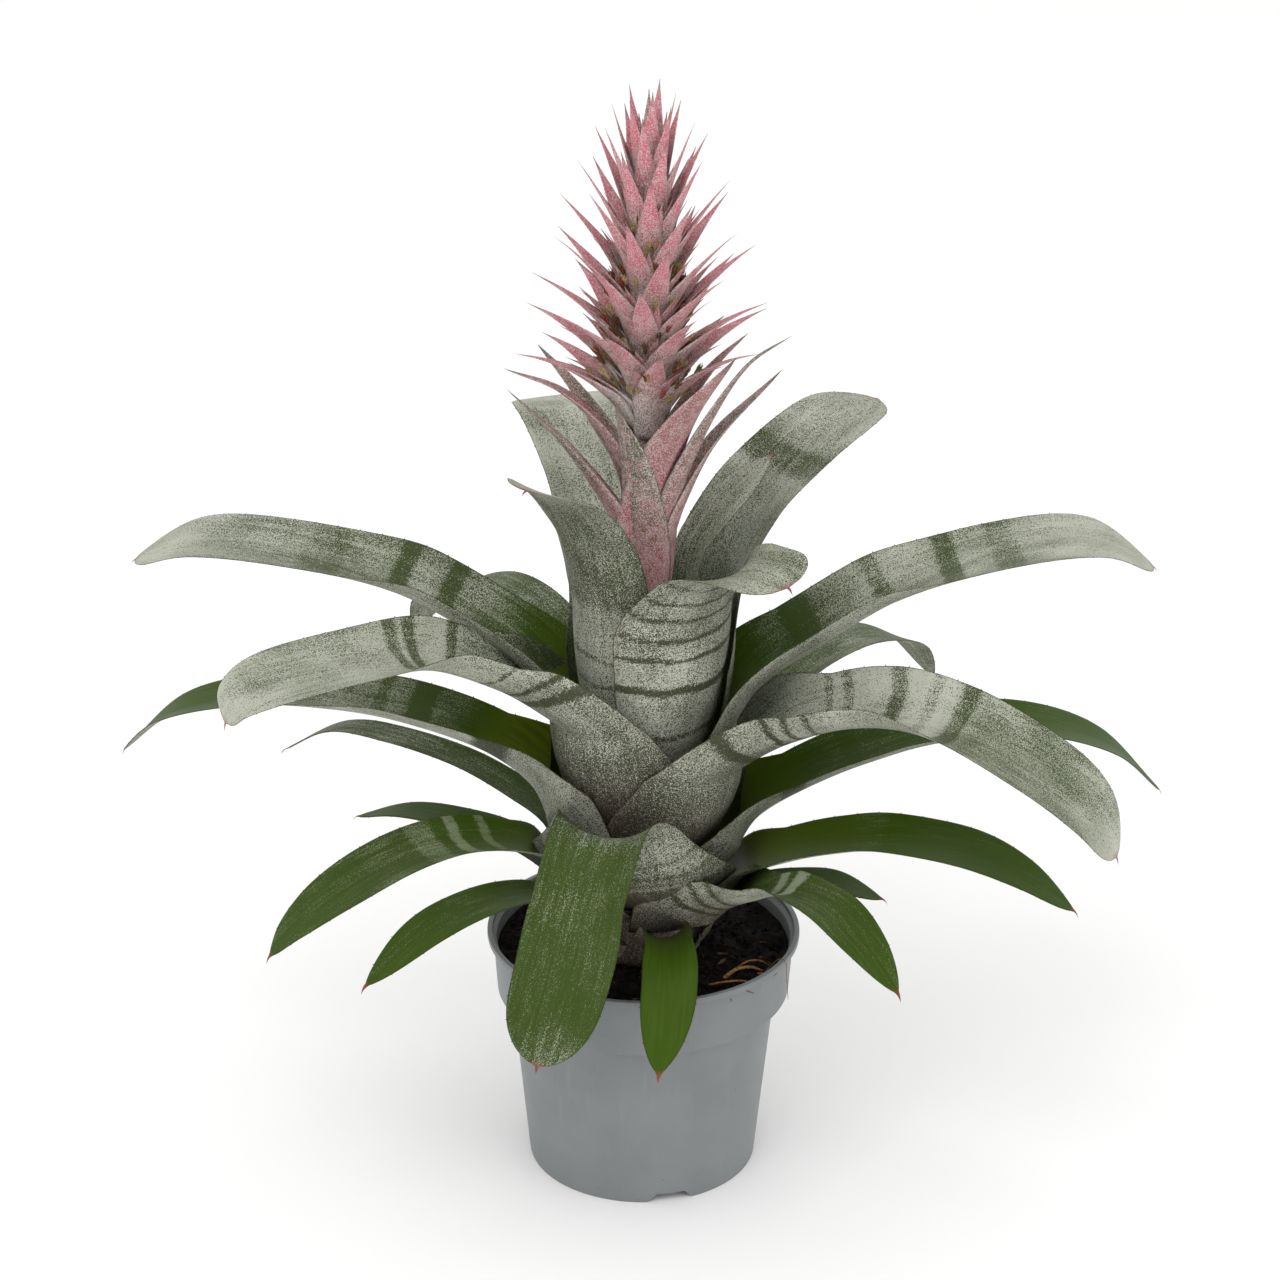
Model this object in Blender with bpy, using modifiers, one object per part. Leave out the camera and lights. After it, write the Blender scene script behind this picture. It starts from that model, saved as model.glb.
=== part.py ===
"""Potted urn plant: a bromeliad rosette with a bract spike, growing in a round nursery pot.

The pot stands on z = 0 with its axis on Z, and the front of the plant faces -Y.
Sizes below are in millimetres and are turned into metres where the meshes are made.
"""

import math

import bmesh
import bpy
from mathutils import Vector

MM = 0.001

# Pot: one moulding, as (radius, height) from the middle of the floor inside, over the lip,
# down the outside and back under the floor.
POT_PROFILE = (
    (0, 1.6),
    (14.6, 1.6),
    (16.4, 5.6),
    (46.4, 5.6),
    (53.9, 78.9),
    (59.4, 79.3),
    (61.1, 101.5),
    (62.8, 103),
    (62.8, 105),
    (65, 105),
    (65, 102.4),
    (62.5, 101.8),
    (60.9, 78.4),
    (59.9, 77.5),
    (55.3, 77.5),
    (47.7, 0),
    (46, 0),
    (45.4, 4.3),
    (17.4, 4.3),
    (15.6, 0),
    (0, 0),
)
POT_STEPS = 40
NOTCH_AZIMUTHS = (-75.5, 44.5, 164.5)
NOTCH_TOP_WIDTH = 12
NOTCH_FOOT_WIDTH = 20
NOTCH_HEIGHT = 4
DRAIN_HOLES = 6
DRAIN_RADIUS = 3.5
DRAIN_RING = 32

# Soil: fills the pot to just below its lip, a little higher round the plant.
SOIL_PROFILE = (
    (0, 98.4),
    (30, 98.2),
    (50, 97.4),
    (60.2, 97),
    (59, 79.8),
    (53.6, 79.4),
    (46.2, 6),
    (0, 6),
)
SOIL_STEPS = 32

# Stem: a short stump that the leaves sit on, drawn out above into the flower stalk.
STEM_PROFILE = (
    (24, 98.7),
    (22.5, 110),
    (18.5, 125),
    (13.5, 140),
    (9, 155),
    (6, 170),
    (4.6, 190),
    (4, 240),
    (4, 320),
    (4.6, 340),
    (4.6, 360),
)
STALK_TOP = 367
STEM_STEPS = 12

# Leaves: the seats climb the stump in the order of the table, outermost leaf first.
FIRST_SEAT = 99.4
SEAT_STEP = 2.9
SEAT_GAP = 0.9
LEAF_THICKNESS = 0.6
SHEATH_ROWS = (0, 0.3, 0.56, 0.8)
BLADE_ROWS = (0, 0.1, 0.22, 0.38, 0.56, 0.74, 0.88, 0.96, 1)
BLADE_TAPER = 0.12
TIP_STARTS = 0.74
POINT_STARTS = 0.62
TIP_HALF_WIDTH = 0.9
RADIUS_AT_TIP = 110
LIFT_STARTS = 0.2

# name, azimuth, sway of the tip, blade width, half wrap of the sheath in degrees, how far below
# and above its rim the leaf narrows to its blade, radius of the blade's channel, lift of the
# margins at the rim in degrees, columns, (radius, height) of the rim where the blade leaves the
# urn, then of the blade out to its tip
LEAVES = (
    (
        "front_short", -76, -10, 24, 40, 14, 12, 11, 0, 6, (30.5, 109),
        ((38, 119), (52, 124), (70, 119), (84, 102), (91, 87)),
    ),
    (
        "right_short", -2, 0, 24, 42, 10, 10, 34, 0, 6, (29.5, 112),
        ((42, 121), (60, 126), (80, 127), (99, 120)),
    ),
    (
        "back_left_short", 152, 0, 20, 42, 13, 13, 34, 0, 6, (31, 112),
        ((42, 123), (60, 130), (84, 133), (115, 131), (140, 122)),
    ),
    (
        "front_left_short", 224, 0, 25, 32, 8, 8, 34, 0, 6, (32, 118),
        ((43, 132), (62, 142), (92, 148), (120, 146), (150, 134)),
    ),
    (
        "back_left_thin", 147, 0, 24, 36, 14, 14, 34, 0, 6, (38.2, 125),
        ((44, 142), (62, 150), (90, 157), (126, 159), (158, 155), (188, 136)),
    ),
    (
        "front_right", -43, -6, 29, 44, 16, 40, 17, 2, 10, (37, 125),
        ((46, 137), (60, 146), (80, 152), (104, 153), (126, 146), (147, 135)),
    ),
    (
        "right_lower", -15, 0, 38, 64, 26, 26, 34, 0, 8, (38, 134),
        ((46, 146), (62, 155), (80, 160), (105, 162), (134, 159), (158, 151), (179, 138)),
    ),
    (
        "left_lower", 207, 0, 37, 54, 22, 26, 34, 4, 8, (39.8, 134),
        ((46, 148), (62, 157), (84, 162), (110, 161), (137, 152), (156, 141), (166, 131)),
    ),
    (
        "front_hanging", 257, -13, 44, 72, 22, 20, 25, 0, 12, (42.6, 152),
        ((46, 164), (53, 170), (63, 166), (73, 149), (84, 121), (95, 88)),
    ),
    (
        "right_rear", 10, 0, 42, 38, 16, 20, 34, 0, 10, (39.6, 146),
        ((47, 158), (64, 168), (90, 178), (125, 184.5), (160, 185.5), (195, 174), (220, 151)),
    ),
    (
        "left_rear", 166, 0, 45, 58, 24, 40, 34, 0, 12, (38.8, 151),
        ((47, 165), (66, 178), (95, 187), (130, 191), (165, 190), (203, 179), (227, 159)),
    ),
    (
        "back_right_thin", 48, 0, 32, 62, 29, 29, 34, 0, 8, (40.6, 162),
        ((48, 172), (70, 184), (100, 192), (135, 193), (170, 180), (192, 155)),
    ),
    (
        "back_left", 125, 0, 36, 62, 26, 26, 34, 0, 8, (39.8, 176),
        ((46, 192), (64, 207), (90, 216), (122, 216), (155, 201), (177, 176)),
    ),
    (
        "right_middle", -22, 0, 56, 112, 62, 46, 34, 6, 16, (40, 185),
        ((47, 191), (66, 204), (95, 216), (132, 218.5), (165, 208), (187, 194), (199, 177)),
    ),
    (
        "left_middle", 205, 0, 48, 104, 50, 30, 44, 0, 16, (38.4, 204),
        ((45, 211), (66, 227), (96, 242), (126, 247), (155, 246), (173, 241), (178, 233)),
    ),
    (
        "right_upper", 5, 0, 52, 84, 46, 36, 24, 0, 8, (37, 202),
        ((47, 217), (70, 233), (102, 252.5), (142, 268.5), (180, 273), (206, 261)),
    ),
    (
        "left_upper", 174, 0, 52, 84, 46, 36, 34, 0, 8, (35.5, 204),
        ((46, 220), (68, 236), (100, 253.5), (140, 266), (180, 269.5), (208, 260)),
    ),
    (
        "back_right_tall", 38, 0, 48, 60, 14, 14, 42, 0, 8, (36, 240),
        ((40, 261), (57, 282), (79, 299), (101, 309), (120, 312)),
    ),
    (
        "back_left_tall", 110, 0, 50, 60, 12, 12, 42, 0, 8, (33, 240),
        ((38, 258), (52, 276), (72, 293), (96, 301), (122, 297)),
    ),
    (
        "front_urn", -50, 12, 52, 62, 4, 34, 42, 0, 8, (34.2, 254),
        ((39, 268), (46, 277), (58, 280), (70, 277)),
    ),
    (
        "front_left_urn", 231, 0, 46, 62, 9, 9, 34, 0, 8, (29, 250),
        ((33, 273), (44, 300), (58, 315), (72, 322)),
    ),
    (
        "right_inner", 25, 0, 26, 60, 9, 9, 20, 0, 6, (20, 246),
        ((22, 268), (32, 286), (44, 297), (55, 306)),
    ),
)

# Stalk bracts: narrow pointed leaves standing off the flower stalk.
# name, azimuth, sway of the tip, width, (radius, height) from the seat out to the tip
BRACT_THICKNESS = 0.5
STALK_BRACT_COLUMNS = 4
STALK_BRACT_ROWS = (0, 0.15, 0.35, 0.55, 0.75, 0.9, 1)
STALK_BRACT_FOLD = 9
STALK_BRACTS = (
    (
        "front", -70, -46, 16,
        ((5.6, 250), (8, 268), (11, 290), (15, 315), (26, 344)),
    ),
    (
        "front_right", -52, 2, 16,
        ((5.6, 281), (8, 301), (14, 319), (27, 338), (52, 370)),
    ),
    (
        "right_outer", -14, 0, 12,
        ((5.6, 269), (9, 285), (14, 302), (25, 330), (40, 356), (58, 371)),
    ),
    (
        "right", 12, 0, 12,
        ((5.6, 260), (10, 277), (16, 296), (29, 321), (54, 348)),
    ),
    (
        "left", 192, 0, 12,
        ((5.6, 266), (11, 283), (20, 301), (36, 325), (56, 347)),
    ),
    (
        "left_upper", 184, 0, 11,
        ((5.6, 300), (12, 315), (22, 331), (36, 344), (56, 353)),
    ),
    (
        "back_left", 138, 0, 13,
        ((5.6, 283), (13, 306), (25, 320), (41, 335), (59, 347)),
    ),
    (
        "back_right", 20, 0, 12,
        ((5.6, 304), (12, 323), (20, 338), (30, 351), (42, 361)),
    ),
)

# Flower head: keeled bracts in one spiral up the stalk. The lower ones are separate;
# the crowded upper ones are joined to the top of the stalk as the flower tip.
FLOWER_BRACTS = 58
SEPARATE_FLOWER_BRACTS = 26
SPIRAL_START = 140
SPIRAL_STEP = 137.5
FLOWER_FOOT = 322
FLOWER_RISE = 1.8
FLOWER_BRACT_WIDTH = (11.5, 9)
FLOWER_BRACT_ROWS = (0, 0.28, 0.6, 1)
FLOWER_BRACT_COLUMNS = 2
FLOWER_BRACT_FOLD = 8
LEAN_AT_FOOT = 62
LEAN_AT_TOP = 7
FRONT_UPRIGHT = 20
LENGTHS = ((0, 60), (0.25, 57), (0.45, 55), (0.7, 53), (0.85, 48), (1, 41))
CURL = 26
BRACT_WIDEST_AT = 0.28
BRACT_DRAWN_OUT = 1.15
BRACT_POINT_HALF_WIDTH = 0.35
FLOWER_TIP_PROFILE = (
    (0, 367.4),
    (4.6, 367.4),
    (4.4, 400),
    (3.6, 425),
    (2.2, 445),
    (0, 462),
)


def clear_scene():
    for leftover in list(bpy.data.objects):
        bpy.data.objects.remove(leftover, do_unlink=True)


def new_collection(name):
    collection = bpy.data.collections.new(name)
    bpy.context.scene.collection.children.link(collection)
    return collection


clear_scene()
PARTS = new_collection("potted_urn_plant")
CUTTERS = new_collection("cutters")
CUTTERS.hide_render = True


def material(name, colour, roughness):
    found = bpy.data.materials.new(name)
    found.use_nodes = True
    surface = found.node_tree.nodes["Principled BSDF"]
    surface.inputs["Base Color"].default_value = (*colour, 1)
    surface.inputs["Roughness"].default_value = roughness
    surface.inputs["Metallic"].default_value = 0
    return found


def add_object(name, mesh, collection, surface=None):
    made = bpy.data.objects.new(name, mesh)
    collection.objects.link(made)
    if surface:
        mesh.materials.append(surface)
    return made


def add_cutter(name, mesh):
    made = add_object(name, mesh, CUTTERS)
    made.hide_render = True
    made.display_type = "WIRE"
    return made


def cut(target, cutter):
    boolean = target.modifiers.new(cutter.name, "BOOLEAN")
    boolean.operation = "DIFFERENCE"
    boolean.solver = "EXACT"
    boolean.object = cutter


def revolve(name, profile, steps, surface):
    """A round solid: the profile swept once about Z."""
    mesh = bpy.data.meshes.new(name)
    points = [(radius * MM, 0, height * MM) for radius, height in profile]
    edges = [(i, i + 1) for i in range(len(points) - 1)]
    mesh.from_pydata(points, edges, [])
    made = add_object(name, mesh, PARTS, surface)
    screw = made.modifiers.new("turn", "SCREW")
    screw.angle = math.tau
    screw.steps = steps
    screw.render_steps = steps
    screw.use_merge_vertices = True
    screw.merge_threshold = 0.00001
    screw.use_smooth_shade = True
    return made


# Pot
grey_plastic = material("grey_plastic", (0.23, 0.25, 0.27), 0.5)
pot = revolve("pot", POT_PROFILE, POT_STEPS, grey_plastic)


def notch_cutter(index, azimuth):
    """A wedge across the foot ring, wider at the table than at its top."""
    mesh = bpy.data.meshes.new(f"notch_{index}")
    grid = bmesh.new()
    inner, outer = 42 * MM, 52 * MM
    corners = []
    for radius in (inner, outer):
        for half, height in (
            (NOTCH_FOOT_WIDTH / 2 + 0.25, -0.5),
            (NOTCH_TOP_WIDTH / 2, NOTCH_HEIGHT),
        ):
            for side in (-1, 1):
                corners.append(grid.verts.new((radius, side * half * MM, height * MM)))
    bmesh.ops.convex_hull(grid, input=corners)
    bmesh.ops.recalc_face_normals(grid, faces=grid.faces)
    grid.to_mesh(mesh)
    grid.free()
    cutter = add_cutter(f"notch_{index}", mesh)
    cutter.rotation_euler.z = math.radians(azimuth)
    return cutter


for notch_index, notch_azimuth in enumerate(NOTCH_AZIMUTHS):
    cut(pot, notch_cutter(notch_index, notch_azimuth))


def drain_cutter(index):
    mesh = bpy.data.meshes.new(f"drain_{index}")
    grid = bmesh.new()
    bmesh.ops.create_cone(
        grid,
        cap_ends=True,
        segments=8,
        radius1=DRAIN_RADIUS * MM,
        radius2=DRAIN_RADIUS * MM,
        depth=8 * MM,
    )
    grid.to_mesh(mesh)
    grid.free()
    cutter = add_cutter(f"drain_{index}", mesh)
    azimuth = math.tau * (index + 0.36) / DRAIN_HOLES
    cutter.location = (
        DRAIN_RING * MM * math.cos(azimuth),
        DRAIN_RING * MM * math.sin(azimuth),
        5 * MM,
    )
    return cutter


for drain_index in range(DRAIN_HOLES):
    cut(pot, drain_cutter(drain_index))

# Soil
dark_soil = material("dark_soil", (0.02, 0.014, 0.01), 0.95)
revolve("soil", SOIL_PROFILE, SOIL_STEPS, dark_soil)

# Stem
pale_stem = material("pale_stem", (0.32, 0.34, 0.27), 0.7)
stem_foot = ((0, STEM_PROFILE[0][1]),)
stem_head = ((4.4, STALK_TOP), (0, STALK_TOP))
stem_outline = (stem_foot + STEM_PROFILE + stem_head)[::-1]
revolve("stem", stem_outline, STEM_STEPS, pale_stem)


# Leaves
def mix(first, second, amount):
    return first + (second - first) * amount


def smooth_step(low, high, value):
    t = min(max((value - low) / (high - low), 0), 1)
    return t * t * (3 - 2 * t)


def stem_radius(height):
    for (r0, z0), (r1, z1) in zip(STEM_PROFILE, STEM_PROFILE[1:]):
        if height <= z1:
            return mix(r0, r1, (height - z0) / (z1 - z0))
    return STEM_PROFILE[-1][0]


def curve_through(points, pieces=12):
    """A smooth line through points in order, as a fine polyline."""
    ends = [points[0] * 2 - points[1], *points, points[-1] * 2 - points[-2]]
    line = []
    for p0, p1, p2, p3 in zip(ends, ends[1:], ends[2:], ends[3:]):
        for step in range(pieces):
            t = step / pieces
            line.append(
                0.5
                * (
                    2 * p1
                    + (p2 - p0) * t
                    + (2 * p0 - 5 * p1 + 4 * p2 - p3) * t * t
                    + (3 * p1 - p0 - 3 * p2 + p3) * t * t * t
                )
            )
    line.append(points[-1])
    return line


def length_of(line):
    return sum((after - before).length for before, after in zip(line, line[1:]))


def walk(line, fractions):
    """(point, tangent) at each fraction of the line's length."""
    lengths = [0]
    for before, after in zip(line, line[1:]):
        lengths.append(lengths[-1] + (after - before).length)
    found = []
    for fraction in fractions:
        along = fraction * lengths[-1]
        i = 0
        while i < len(line) - 2 and lengths[i + 1] < along:
            i += 1
        share = (along - lengths[i]) / (lengths[i + 1] - lengths[i])
        found.append((line[i].lerp(line[i + 1], share), (line[i + 1] - line[i]).normalized()))
    return found


def urn_wall(seat, rim, t):
    """The sheath's midline: it swells out from its seat and is upright at the rim."""
    swell = 1 - (1 - t) ** 2
    return Vector((mix(seat[0], rim[0], swell), mix(seat[1], rim[1], t)))


def blade_half_width(width, u):
    """The broad leaves end round, and the narrow ones run out into a long point."""
    pointed = smooth_step(47, 36, width)
    starts = mix(TIP_STARTS, POINT_STARTS, pointed)
    tapered = width / 2 * (1 - BLADE_TAPER * u * u)
    if u <= starts:
        return tapered
    inside = (u - starts) / (1 - starts)
    left = 1 - inside ** mix(2.8, 2.2, pointed)
    return max(tapered * max(0, left) ** mix(0.55, 0.75, pointed), TIP_HALF_WIDTH)


def narrowed(start, end, distance):
    """Mostly straight from 0 at the start to 1 at the end, with soft ends."""
    t = min(max((distance - start) / (end - start), 0), 1)
    return mix(t, smooth_step(0, 1, t), 0.4) ** 0.8


def section(middle, inward, azimuth, half_width, radius, columns):
    """Points across the leaf: an arc that bulges away from the inward side."""
    out = Vector((math.cos(azimuth), math.sin(azimuth), 0))
    sideways = Vector((-math.sin(azimuth), math.cos(azimuth), 0))
    up = Vector((0, 0, 1))
    points = []
    for column in range(columns + 1):
        angle = half_width / radius * (2 * column / columns - 1)
        lift = radius * (1 - math.cos(angle))
        shift = radius * math.sin(angle)
        spot = (
            out * (middle.x + inward.x * lift)
            + up * (middle.y + inward.y * lift)
            + sideways * shift
        )
        points.append(spot * MM)
    return points


def leaf_sections(order, leaf):
    azimuth, sway, width, wrap, opens, closes, channel, tilt, columns, rim, blade = leaf[1:]
    seat_height = FIRST_SEAT + SEAT_STEP * order
    seat = (stem_radius(seat_height) + SEAT_GAP, seat_height)
    turn = math.radians(azimuth)
    sheath_half_width = math.radians(wrap) * rim[0]
    rows = []
    for t in SHEATH_ROWS:
        middle = urn_wall(seat, rim, t)
        narrowing = narrowed(-opens, closes, middle.y - rim[1])
        half_width = mix(math.radians(wrap) * middle.x, width / 2, narrowing)
        lifted = math.radians(tilt) * smooth_step(LIFT_STARTS, 1, t)
        inward = Vector((-math.cos(lifted), math.sin(lifted)))
        rows.append(section(middle, inward, turn, half_width, middle.x, columns))
    last_sheath = urn_wall(seat, rim, 0.92)
    line = curve_through([last_sheath, Vector(rim)] + [Vector(point) for point in blade])
    blade_line = line[12:]
    blade_length = length_of(blade_line)
    lifted = math.radians(tilt)
    at_rim = Vector((-math.cos(lifted), math.sin(lifted)))
    for u, (middle, tangent) in zip(BLADE_ROWS, walk(blade_line, BLADE_ROWS)):
        upward = Vector((-tangent.y, tangent.x))
        inward = at_rim.lerp(upward, smooth_step(0, 0.12, u)).normalized()
        narrowing = narrowed(-opens, closes, u * blade_length)
        half_width = mix(sheath_half_width, blade_half_width(width, u), narrowing)
        folded = mix(rim[0], channel, smooth_step(0, 0.2, u))
        radius = mix(folded, RADIUS_AT_TIP, smooth_step(0.38, 0.85, u))
        swung = turn + math.radians(sway) * u
        rows.append(section(middle, inward, swung, half_width, radius, columns))
    return rows


def sheet(name, rows, surface, thickness):
    """A thin solid over a net of rows, thickened evenly to both sides."""
    mesh = bpy.data.meshes.new(name)
    columns = len(rows[0])
    faces = []
    for row in range(len(rows) - 1):
        for column in range(columns - 1):
            corner = row * columns + column
            faces.append((corner, corner + 1, corner + 1 + columns, corner + columns))
    mesh.from_pydata([point for row in rows for point in row], [], faces)
    mesh.shade_smooth()
    made = add_object(name, mesh, PARTS, surface)
    solid = made.modifiers.new("thickness", "SOLIDIFY")
    solid.thickness = thickness * MM
    solid.offset = 0
    solid.use_even_offset = True
    return made


silver_leaf = material("silver_leaf", (0.22, 0.3, 0.16), 0.6)
for leaf_order, leaf_shape in enumerate(LEAVES):
    leaf_name = "leaf_" + leaf_shape[0]
    sheet(leaf_name, leaf_sections(leaf_order, leaf_shape), silver_leaf, LEAF_THICKNESS)


# Bracts
def bract_half_width(width, u):
    """Widest low down, then drawn out to a sharp point."""
    if u < BRACT_WIDEST_AT:
        return width / 2 * mix(0.62, 1, math.sin(u / BRACT_WIDEST_AT * math.pi / 2))
    left = (1 - u) / (1 - BRACT_WIDEST_AT)
    return max(width / 2 * left**BRACT_DRAWN_OUT, BRACT_POINT_HALF_WIDTH)


def bract_sections(azimuth, sway, width, path, fold, fractions, columns):
    turn = math.radians(azimuth)
    line = curve_through([Vector(point) for point in path])
    rows = []
    for u, (middle, tangent) in zip(fractions, walk(line, fractions)):
        inward = Vector((-tangent.y, tangent.x))
        swung = turn + math.radians(sway) * u
        half_width = bract_half_width(width, u)
        rows.append(section(middle, inward, swung, half_width, fold, columns))
    return rows


pink_bract = material("pink_bract", (0.5, 0.2, 0.24), 0.65)
for bract_name, bract_azimuth, bract_sway, bract_width, bract_path in STALK_BRACTS:
    bract_rows = bract_sections(
        bract_azimuth,
        bract_sway,
        bract_width,
        bract_path,
        STALK_BRACT_FOLD,
        STALK_BRACT_ROWS,
        STALK_BRACT_COLUMNS,
    )
    sheet("stalk_bract_" + bract_name, bract_rows, pink_bract, BRACT_THICKNESS)


# Flower head
def between(table, value):
    for (x0, y0), (x1, y1) in zip(table, table[1:]):
        if value <= x1:
            return mix(y0, y1, (value - x0) / (x1 - x0))
    return table[-1][1]


def flower_bract_path(azimuth, share, seat_radius, height):
    """Leaves the stalk steeply and leans out more towards its point, less so at the front."""
    front = max(0, -math.sin(math.radians(azimuth))) ** 2
    lean = mix(LEAN_AT_FOOT, LEAN_AT_TOP, share**1.1) - FRONT_UPRIGHT * front * (1 - share)
    curl = CURL * (1 - share)
    length = between(LENGTHS, share)
    path = [(seat_radius, height)]
    pieces = 6
    for piece in range(pieces):
        angle = math.radians(lean + curl * (2 * (piece + 0.5) / pieces - 1))
        radius = path[-1][0] + length / pieces * math.sin(angle)
        path.append((radius, path[-1][1] + length / pieces * math.cos(angle)))
    return path


def flower_bract_rows(index, seat_radius):
    share = index / (FLOWER_BRACTS - 1)
    azimuth = SPIRAL_START + SPIRAL_STEP * index
    height = FLOWER_FOOT + FLOWER_RISE * index
    return bract_sections(
        azimuth,
        0,
        mix(*FLOWER_BRACT_WIDTH, share),
        flower_bract_path(azimuth, share, seat_radius, height),
        FLOWER_BRACT_FOLD,
        FLOWER_BRACT_ROWS,
        FLOWER_BRACT_COLUMNS,
    )


for flower_index in range(SEPARATE_FLOWER_BRACTS):
    flower_rows = flower_bract_rows(flower_index, 5.9)
    sheet(f"flower_bract_{flower_index + 1:02d}", flower_rows, pink_bract, BRACT_THICKNESS)

TIP_BRACTS = bpy.data.collections.new("tip_bracts")
CUTTERS.children.link(TIP_BRACTS)
TIP_BRACTS.hide_render = True


def spike(name, rows):
    """A solid keeled bract with a flat inner side, for joining to the flower tip."""
    mesh = bpy.data.meshes.new(name)
    sides = len(rows[0])
    faces = [tuple(range(sides))[::-1]]
    for row in range(len(rows) - 1):
        for side in range(sides):
            after = (side + 1) % sides
            near, far = row * sides, (row + 1) * sides
            faces.append((near + side, near + after, far + after, far + side))
    faces.append(tuple(range((len(rows) - 1) * sides, len(rows) * sides)))
    mesh.from_pydata([point for row in rows for point in row], [], faces)
    mesh.shade_smooth()
    made = bpy.data.objects.new(name, mesh)
    TIP_BRACTS.objects.link(made)
    mesh.materials.append(pink_bract)
    made.hide_render = True
    made.display_type = "WIRE"


for flower_index in range(SEPARATE_FLOWER_BRACTS, FLOWER_BRACTS):
    share_left = 1 - flower_index / FLOWER_BRACTS
    spike(f"tip_bract_{flower_index}", flower_bract_rows(flower_index, 1 + 3 * share_left))

flower_tip = revolve("flower_tip", FLOWER_TIP_PROFILE[::-1], 8, pink_bract)
union = flower_tip.modifiers.new("bracts", "BOOLEAN")
union.operation = "UNION"
union.solver = "EXACT"
union.operand_type = "COLLECTION"
union.collection = TIP_BRACTS
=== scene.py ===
import math
import random

import bmesh
import bpy
from mathutils import Matrix, Vector, noise


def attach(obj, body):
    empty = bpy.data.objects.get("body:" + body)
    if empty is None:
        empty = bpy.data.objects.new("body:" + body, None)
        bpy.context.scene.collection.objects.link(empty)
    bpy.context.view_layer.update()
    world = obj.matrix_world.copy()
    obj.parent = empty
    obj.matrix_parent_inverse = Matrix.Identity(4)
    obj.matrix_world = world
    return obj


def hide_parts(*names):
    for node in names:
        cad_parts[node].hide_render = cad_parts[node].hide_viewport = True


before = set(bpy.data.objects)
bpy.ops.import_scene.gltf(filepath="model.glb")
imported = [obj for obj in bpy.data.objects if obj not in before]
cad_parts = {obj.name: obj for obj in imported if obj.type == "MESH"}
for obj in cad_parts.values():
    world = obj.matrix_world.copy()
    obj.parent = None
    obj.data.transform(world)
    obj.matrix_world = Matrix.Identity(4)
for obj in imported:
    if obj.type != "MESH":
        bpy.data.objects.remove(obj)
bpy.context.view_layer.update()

# Pot
# A round nursery pot, injection moulded in thin grey polypropylene: a rolled lip over a plain
# collar, a ledge, a tapered wall, and a foot ring with three drainage notches in it.
MM = 0.001
POT_OUTLINE = (
    (0, 1.6), (14.6, 1.6), (16.4, 5.6), (46.4, 5.6), (53.9, 78.9), (59.4, 79.3), (61.1, 101.5),
    (62.8, 103.2), (62.8, 105), (65, 105), (65, 102.4), (62.5, 101.8), (60.9, 78.4), (59.9, 77.5),
    (55.3, 77.5), (47.7, 0), (46, 0), (45.4, 4.3), (17.4, 4.3), (15.6, 0), (0, 0),
)
POT_CORNER = 0.45
POT_STEPS = 180
POT_SHARPEST_SMOOTH = math.radians(50)
NOTCH_AZIMUTHS = (-75.5, 44.5, 164.5)
NOTCH_TOP_WIDTH = 12
NOTCH_FOOT_WIDTH = 20
NOTCH_HEIGHT = 4
NOTCH_RADII = (42, 52)
DRAIN_HOLES = 6
DRAIN_RADIUS = 3.5
DRAIN_RING = 32
DRAIN_TURN = 0.36


class Wire:
    """One socket of a finish. Sums on wires add the nodes that work them out."""

    def __init__(self, tree, socket=None):
        self.tree = tree
        self.socket = socket

    def node(self, kind, settings=None, sockets=None, output=0):
        made = self.tree.nodes.new("ShaderNode" + kind)
        for setting, value in (settings or {}).items():
            setattr(made, setting, value)
        for key, value in (sockets or {}).items():
            if isinstance(value, Wire):
                self.tree.links.new(value.socket, made.inputs[key])
            else:
                made.inputs[key].default_value = value
        return Wire(self.tree, made.outputs[output])

    def maths(self, operation, *values):
        return self.node("Math", {"operation": operation}, dict(enumerate(values)))

    def __add__(self, other):
        return self.maths("ADD", self, other)

    def __sub__(self, other):
        return self.maths("SUBTRACT", self, other)

    def __rsub__(self, other):
        return self.maths("SUBTRACT", other, self)

    def __mul__(self, other):
        return self.maths("MULTIPLY", self, other)

    __radd__ = __add__
    __rmul__ = __mul__

    def step(self, low, high):
        """0 below low, 1 above high, and smooth between them."""
        limits = {"Value": self, "From Min": low, "From Max": high}
        return self.node("MapRange", {"interpolation_type": "SMOOTHSTEP"}, limits)

    def between(self, first, second):
        """The colour this far from the first to the second."""
        ends = [(*end, 1) if isinstance(end, tuple) else end for end in (first, second)]
        sockets = {0: self, 6: ends[0], 7: ends[1]}
        return self.node("Mix", {"data_type": "RGBA"}, sockets, 2)

    def grain(self, size, detail=2, stretch=(1, 1, 1), where=None, seed=0.0):
        """Noise from 0 to 1 with spots of about this size in metres."""
        if where is None:
            where = self.node("TexCoord", output="Object")
        shift = {"Vector": where, "Scale": stretch, "Location": (seed, seed, seed)}
        placed = self.node("Mapping", sockets=shift)
        sockets = {"Vector": placed, "Scale": 1 / size, "Detail": detail}
        return self.node("TexNoise", sockets=sockets)

    def relief(self, height, depth):
        """A normal for a surface this deep, in metres."""
        return self.node("Bump", sockets={"Height": height, "Distance": depth})


def new_finish(name, **fixed):
    """A finish with its fixed values set: its material, a first wire and its shader."""
    made = bpy.data.materials.new(name)
    made.use_nodes = True
    shader = made.node_tree.nodes["Principled BSDF"]
    for socket, value in fixed.items():
        shader.inputs[socket.replace("_", " ")].default_value = value
    return made, Wire(made.node_tree), shader


def join(shader, **wires):
    """Wires the sums into the shader's sockets."""
    for socket, wire in wires.items():
        wire.tree.links.new(wire.socket, shader.inputs[socket.replace("_", " ")])


def mix(first, second, amount):
    return first + (second - first) * amount


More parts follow.
